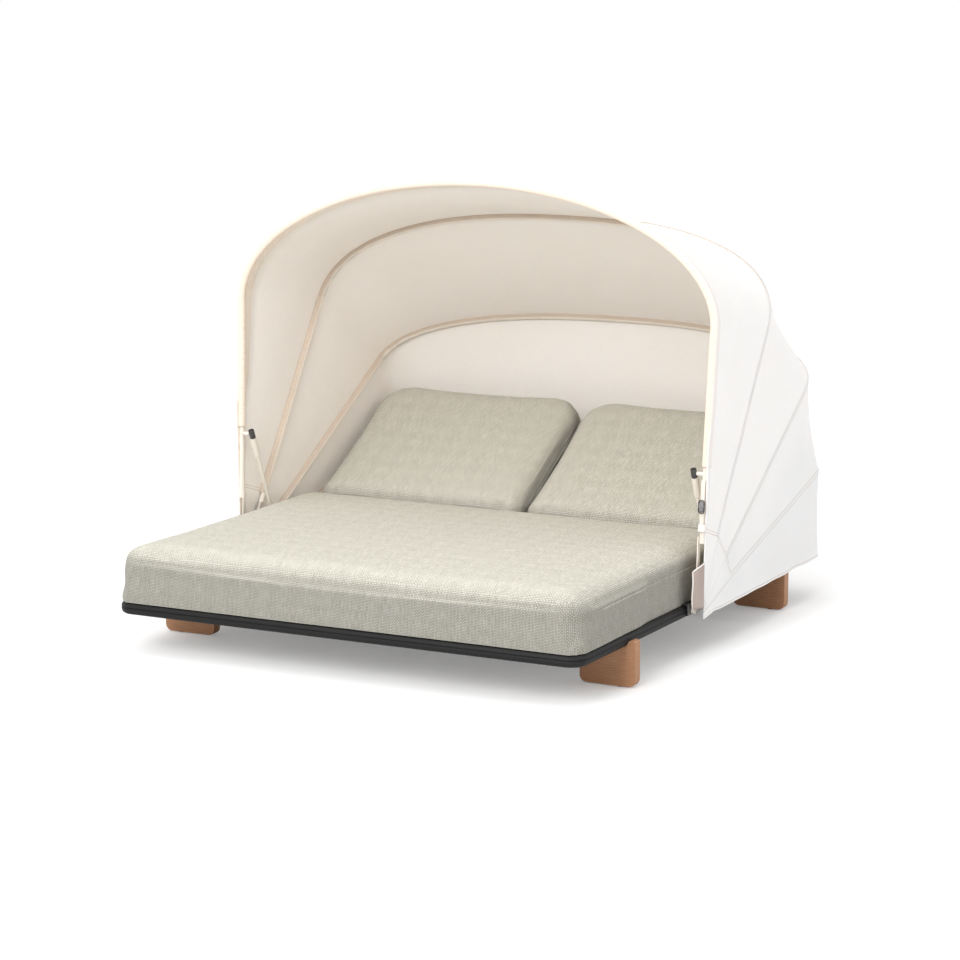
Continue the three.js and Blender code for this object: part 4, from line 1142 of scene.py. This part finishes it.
def padded_copy(node, name, to_local, shrink, voxel, cap, pressure, frames):
    """The CAD cushion as a soft one: remeshed, then blown up a little by cloth simulation, each point's move held to a
    cap.
    """
    source = nodes[node]
    data = source.data.copy()
    piece = bpy.data.objects.new(name, data)
    bpy.context.scene.collection.objects.link(piece)
    data.materials.clear()
    data.transform(to_local)
    low = Vector([min(v.co[k] for v in data.vertices) for k in range(3)])
    high = Vector([max(v.co[k] for v in data.vertices) for k in range(3)])
    centre = (low + high) / 2
    for vertex in data.vertices:
        for k in range(3):
            half = (high[k] - low[k]) / 2
            vertex.co[k] = centre[k] + (vertex.co[k] - centre[k]) * (half - shrink[k]) / half
    weld = piece.modifiers.new("weld", "WELD")
    weld.merge_threshold = 1e-4
    remesh = piece.modifiers.new("remesh", "REMESH")
    remesh.mode = "VOXEL"
    remesh.voxel_size = voxel
    bake_modifiers(piece)
    start = [v.co.copy() for v in piece.data.vertices]
    cloth = piece.modifiers.new("cloth", "CLOTH")
    cloth.settings.use_pressure = True
    cloth.settings.uniform_pressure_force = pressure
    cloth.settings.tension_stiffness = 25
    cloth.settings.compression_stiffness = 25
    cloth.settings.bending_stiffness = 4
    cloth.settings.effector_weights.gravity = 0
    cloth.collision_settings.use_collision = False
    cloth.point_cache.frame_start = 1
    cloth.point_cache.frame_end = frames
    for step in range(1, frames + 1):
        bpy.context.scene.frame_set(step)
    bake_modifiers(piece)
    bpy.context.scene.frame_set(1)
    for vertex, first in zip(piece.data.vertices, start):
        move = vertex.co - first
        if move.length > cap:
            vertex.co = first + move * (cap / move.length)
    return piece, low, high


def bake_modifiers(piece):
    bpy.context.view_layer.update()
    graph = bpy.context.evaluated_depsgraph_get()
    data = bpy.data.meshes.new_from_object(piece.evaluated_get(graph), depsgraph=graph)
    piece.modifiers.clear()
    piece.data = data


def pinch_seam(piece, height, depth, share_at_point):
    """Cuts close edge loops at the seam's height and draws the cloth in between them."""
    body = bmesh.new()
    body.from_mesh(piece.data)
    for level in (-0.0075, -0.0022, 0.0, 0.0022, 0.0075):
        everything = body.verts[:] + body.edges[:] + body.faces[:]
        bmesh.ops.bisect_plane(body, geom=everything, plane_co=(0, 0, height + level), plane_no=(0, 0, 1), dist=1e-5)
    body.normal_update()
    for vertex in body.verts:
        away = abs(vertex.co.z - height)
        if away < 0.012:
            side = Vector((vertex.normal.x, vertex.normal.y, 0))
            if side.length > 0.3:
                pull = depth * share_at_point(vertex.co) * math.exp(-(away / 0.0026) ** 2)
                vertex.co -= side.normalized() * pull
    for face in body.faces:
        face.smooth = True
    body.to_mesh(piece.data)
    body.free()


def fit_box(piece, low, high):
    """Stretches the soft copy to the given box, because the remesh and the cloth draw it in."""
    corners = [v.co for v in piece.data.vertices]
    for k in range(3):
        least, most = min(c[k] for c in corners), max(c[k] for c in corners)
        scale = (high[k] - low[k]) / (most - least)
        for corner in corners:
            corner[k] = low[k] + (corner[k] - least) * scale


def fill_out(piece, low, high, out, foot):
    """Rounds the sides, fullest just above half height, and spreads the cushion where it rests."""
    piece.data.update()
    normals = [v.normal.copy() for v in piece.data.vertices]
    for vertex, normal in zip(piece.data.vertices, normals):
        side = Vector((normal.x, normal.y, 0))
        share = min(max((vertex.co.z - low.z) / (high.z - low.z), 0.0), 1.0)
        vertex.co += side * out * math.sin(math.pi * share ** 0.85)
        base = foot * (1 - smooth(0.0, 0.30, share))
        for k in (0, 1):
            middle, half = (low[k] + high[k]) / 2, (high[k] - low[k]) / 2
            vertex.co[k] += (vertex.co[k] - middle) / half * base


def round_over(piece, low, high, drop, width):
    """Lets the top fall off towards the outline."""
    for vertex in piece.data.vertices:
        share = (vertex.co.z - low.z) / (high.z - low.z)
        inset = min(vertex.co.x - low.x, high.x - vertex.co.x, vertex.co.y - low.y, high.y - vertex.co.y)
        vertex.co.z -= drop * smooth(0.45, 0.95, share) * math.exp(-(max(inset, 0.0) / width) ** 1.4)


def square_foot(piece, low, high, corner, reach):
    """Squares the lower edge, where the weight of the cushion presses it onto the frame."""
    middle, half = (low + high) / 2, (high - low) / 2
    for vertex in piece.data.vertices:
        height = vertex.co.z - low.z
        over_x = abs(vertex.co.x - middle.x) - (half.x - corner)
        over_y = abs(vertex.co.y - middle.y) - (half.y - corner)
        outward = Vector((max(over_x, 0.0), max(over_y, 0.0), 0))
        if outward.length == 0 or height > reach:
            continue
        inset = corner - outward.length
        if inset > reach:
            continue
        from_foot = Vector(((reach - inset) / reach, (reach - height) / reach))
        if from_foot.length < 0.2:
            continue
        c, n = abs(from_foot.x) / from_foot.length, abs(from_foot.y) / from_foot.length
        fuller = 1 / (c ** 8 + n ** 8) ** 0.125
        outward.normalize()
        outward.x = math.copysign(outward.x, vertex.co.x - middle.x)
        outward.y = math.copysign(outward.y, vertex.co.y - middle.y)
        vertex.co += outward * reach * from_foot.x * (fuller - 1)
        vertex.co.z = low.z + reach - reach * min(from_foot.y * fuller, 1.0)


def soft_surface(piece, lumps, seed):
    """Slow unevenness of the filling and the small give of the cloth."""
    piece.data.update()
    normals = [v.normal.copy() for v in piece.data.vertices]
    for vertex, normal in zip(piece.data.vertices, normals):
        slow = noise.noise(Vector((vertex.co.x * 2.6, vertex.co.y * 2.6, vertex.co.z * 2.6 + seed)))
        quick = noise.noise(Vector((vertex.co.x * 11, vertex.co.y * 11, vertex.co.z * 11 + seed)))
        vertex.co += normal * (lumps * slow + 0.25 * lumps * quick)


def finish_padded(piece, node, back, seam, body, cloth):
    """Smooths once, then seam, weave coordinates and material of a padded piece, which hides its CAD cushion and rides
    on the given body.
    """
    once = piece.modifiers.new("smooth", "SUBSURF")
    once.levels = once.render_levels = 1
    bake_modifiers(piece)
    pinch_seam(piece, *seam)
    piece.data.update()
    carry(piece, "local", [tuple(v.co) for v in piece.data.vertices])
    carry(piece, "facing", [tuple(v.normal) for v in piece.data.vertices])
    piece.data.transform(back)
    piece.data.materials.clear()
    piece.data.materials.append(cloth)
    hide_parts(node)
    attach(piece, body)


def mattress_seam(place):
    """The side seam runs along both long sides and fades out before the front corners."""
    return smooth(0.80, 0.86, abs(place.x)) * smooth(-1.02, -0.86, place.y)


def beside_stays(y):
    """Half the mattress's width: full at the front, held in where the stays pass it."""
    return mix(0.898, 0.8820, smooth(-0.66, -0.51, y))


def mattress():
    piece, low, high = padded_copy(
        "seat_mattress", "mattress", Matrix.Identity(4), (0.001, 0.001, 0.001), 0.014, 0.0028, 1.0, 14)
    low_out, high_out = low + Vector((-0.002, 0.001, 0)), high + Vector((0.002, 0, 0))
    fit_box(piece, low_out, high_out)
    fill_out(piece, low, high, 0.010, 0.012)
    round_over(piece, low, high, 0.020, 0.060)
    square_foot(piece, low, high, 0.072, 0.070)
    soft_surface(piece, 0.0022, 2.0)
    for vertex in piece.data.vertices:
        limit = beside_stays(vertex.co.y)
        vertex.co.x = min(max(vertex.co.x, -limit), limit)
        vertex.co.y = min(max(vertex.co.y, -1.1020), high.y)
        vertex.co.z = max(vertex.co.z, low.z)
    finish_padded(piece, "seat_mattress", Matrix.Identity(4),
                  (low.z + 0.62 * 0.203, 0.0030, mattress_seam), "base", SEAT)


def back_seam(place):
    return 1.0


def back_cushion(side, sign):
    hinge = Vector((sign * 0.444, HINGE.y, HINGE.z))
    back = Matrix.Translation(hinge) @ Matrix.Rotation(BACK_LEAN, 4, "X")
    piece, low, high = padded_copy(
        f"back_cushion_{side}", f"cushion_{side}", back.inverted(), (0.001, 0.001, 0.001), 0.012, 0.0040, 1.2, 14)
    fit_box(piece, low, high)
    fill_out(piece, low, high, 0.004, 0.0)
    soft_surface(piece, 0.0026, 5.0 + sign)
    for vertex in piece.data.vertices:
        vertex.co.z = max(vertex.co.z, low.z)
        vertex.co.x = min(max(vertex.co.x, low.x), high.x)
        vertex.co.y = min(max(vertex.co.y, low.y), high.y + 0.004)
    finish_padded(piece, f"back_cushion_{side}", back,
                  (low.z + 0.62 * 0.166, 0.0024, back_seam), f"backrest_{side}", BACK)


mattress()
back_cushion("left", -1)
back_cushion("right", 1)


# ---------------------------------------------------------------- floor, light and camera

def floor_material():
    """A pale floor that reads as white to the camera and still takes the object's shadow."""
    material = bpy.data.materials.new("floor")
    material.use_nodes = True
    tree = material.node_tree
    tree.nodes.clear()
    out = tree.nodes.new("ShaderNodeOutputMaterial")
    plain = tree.nodes.new("ShaderNodeBsdfDiffuse")
    plain.inputs["Color"].default_value = (0.78, 0.78, 0.785, 1)
    lift = tree.nodes.new("ShaderNodeEmission")
    lift.inputs["Color"].default_value = (1, 1, 1, 1)
    path = tree.nodes.new("ShaderNodeLightPath")
    both = tree.nodes.new("ShaderNodeAddShader")
    seen = tree.nodes.new("ShaderNodeMath")
    seen.operation = "MULTIPLY"
    seen.inputs[1].default_value = FLOOR_LIFT
    tree.links.new(path.outputs["Is Camera Ray"], seen.inputs[0])
    tree.links.new(seen.outputs[0], lift.inputs["Strength"])
    tree.links.new(plain.outputs[0], both.inputs[0])
    tree.links.new(lift.outputs[0], both.inputs[1])
    tree.links.new(both.outputs[0], out.inputs["Surface"])
    return material


FLOOR_LIFT = 0.22
floor = add_mesh("floor", [(-40, -40, 0), (40, -40, 0), (40, 40, 0), (-40, 40, 0)], [(0, 1, 2, 3)], [floor_material()])


def studio_world():
    """White to the camera and in reflections, plain soft light otherwise."""
    world = bpy.data.worlds.new("studio")
    bpy.context.scene.world = world
    world.use_nodes = True
    tree = world.node_tree
    tree.nodes.clear()
    out = tree.nodes.new("ShaderNodeOutputWorld")
    seen, light = tree.nodes.new("ShaderNodeBackground"), tree.nodes.new("ShaderNodeBackground")
    seen.inputs["Strength"].default_value = 1.0
    seen.inputs["Color"].default_value = (1, 1, 1, 1)
    light.inputs["Color"].default_value = (1.0, 0.99, 0.98, 1)
    light.inputs["Strength"].default_value = 0.94
    path = tree.nodes.new("ShaderNodeLightPath")
    first, second = tree.nodes.new("ShaderNodeMath"), tree.nodes.new("ShaderNodeMath")
    first.operation = second.operation = "MAXIMUM"
    tree.links.new(path.outputs["Is Camera Ray"], first.inputs[0])
    tree.links.new(path.outputs["Is Glossy Ray"], first.inputs[1])
    tree.links.new(first.outputs[0], second.inputs[0])
    tree.links.new(path.outputs["Is Transmission Ray"], second.inputs[1])
    either = tree.nodes.new("ShaderNodeMixShader")
    tree.links.new(second.outputs[0], either.inputs[0])
    tree.links.new(light.outputs[0], either.inputs[1])
    tree.links.new(seen.outputs[0], either.inputs[2])
    tree.links.new(either.outputs[0], out.inputs["Surface"])


def soft_light(name, place, aim, size, power, colour=(1, 1, 1)):
    data = bpy.data.lights.new(name, "AREA")
    data.shape = "DISK"
    data.size = size
    data.energy = power
    data.color = colour
    lamp = bpy.data.objects.new(name, data)
    lamp.location = place
    lamp.rotation_euler = (Vector(aim) - Vector(place)).to_track_quat("-Z", "Y").to_euler()
    bpy.context.scene.collection.objects.link(lamp)


def sun(name, place, power, spread):
    data = bpy.data.lights.new(name, "SUN")
    data.energy = power
    data.angle = math.radians(spread)
    lamp = bpy.data.objects.new(name, data)
    lamp.rotation_euler = (-Vector(place)).to_track_quat("-Z", "Y").to_euler()
    bpy.context.scene.collection.objects.link(lamp)


studio_world()
sun("key", (-1.2, -2.2, 6.0), 0.58, 50)
soft_light("front", (0.2, -7.0, 4.5), (0, 0.5, 0.8), 4.0, 320)
soft_light("side", (6.0, 2.0, 3.2), (0.8, 0.3, 0.7), 3.5, 42)

camera_data = bpy.data.cameras.new("camera")
camera_data.sensor_width = 36
camera_data.lens = 115.0
camera_data.shift_x = 0.0031
camera = bpy.data.objects.new("camera", camera_data)
right, up, back = Vector((0.887, 0.4617, 0)), Vector((-0.0826, 0.1586, 0.9839)), Vector((0.4543, -0.8727, 0.1788))
turn = Matrix((right, up, back)).transposed().to_4x4()
camera.matrix_world = Matrix.Translation((5.048, -9.790, 2.513)) @ turn
bpy.context.scene.collection.objects.link(camera)
bpy.context.scene.camera = camera
bpy.context.scene.view_settings.view_transform = "Standard"
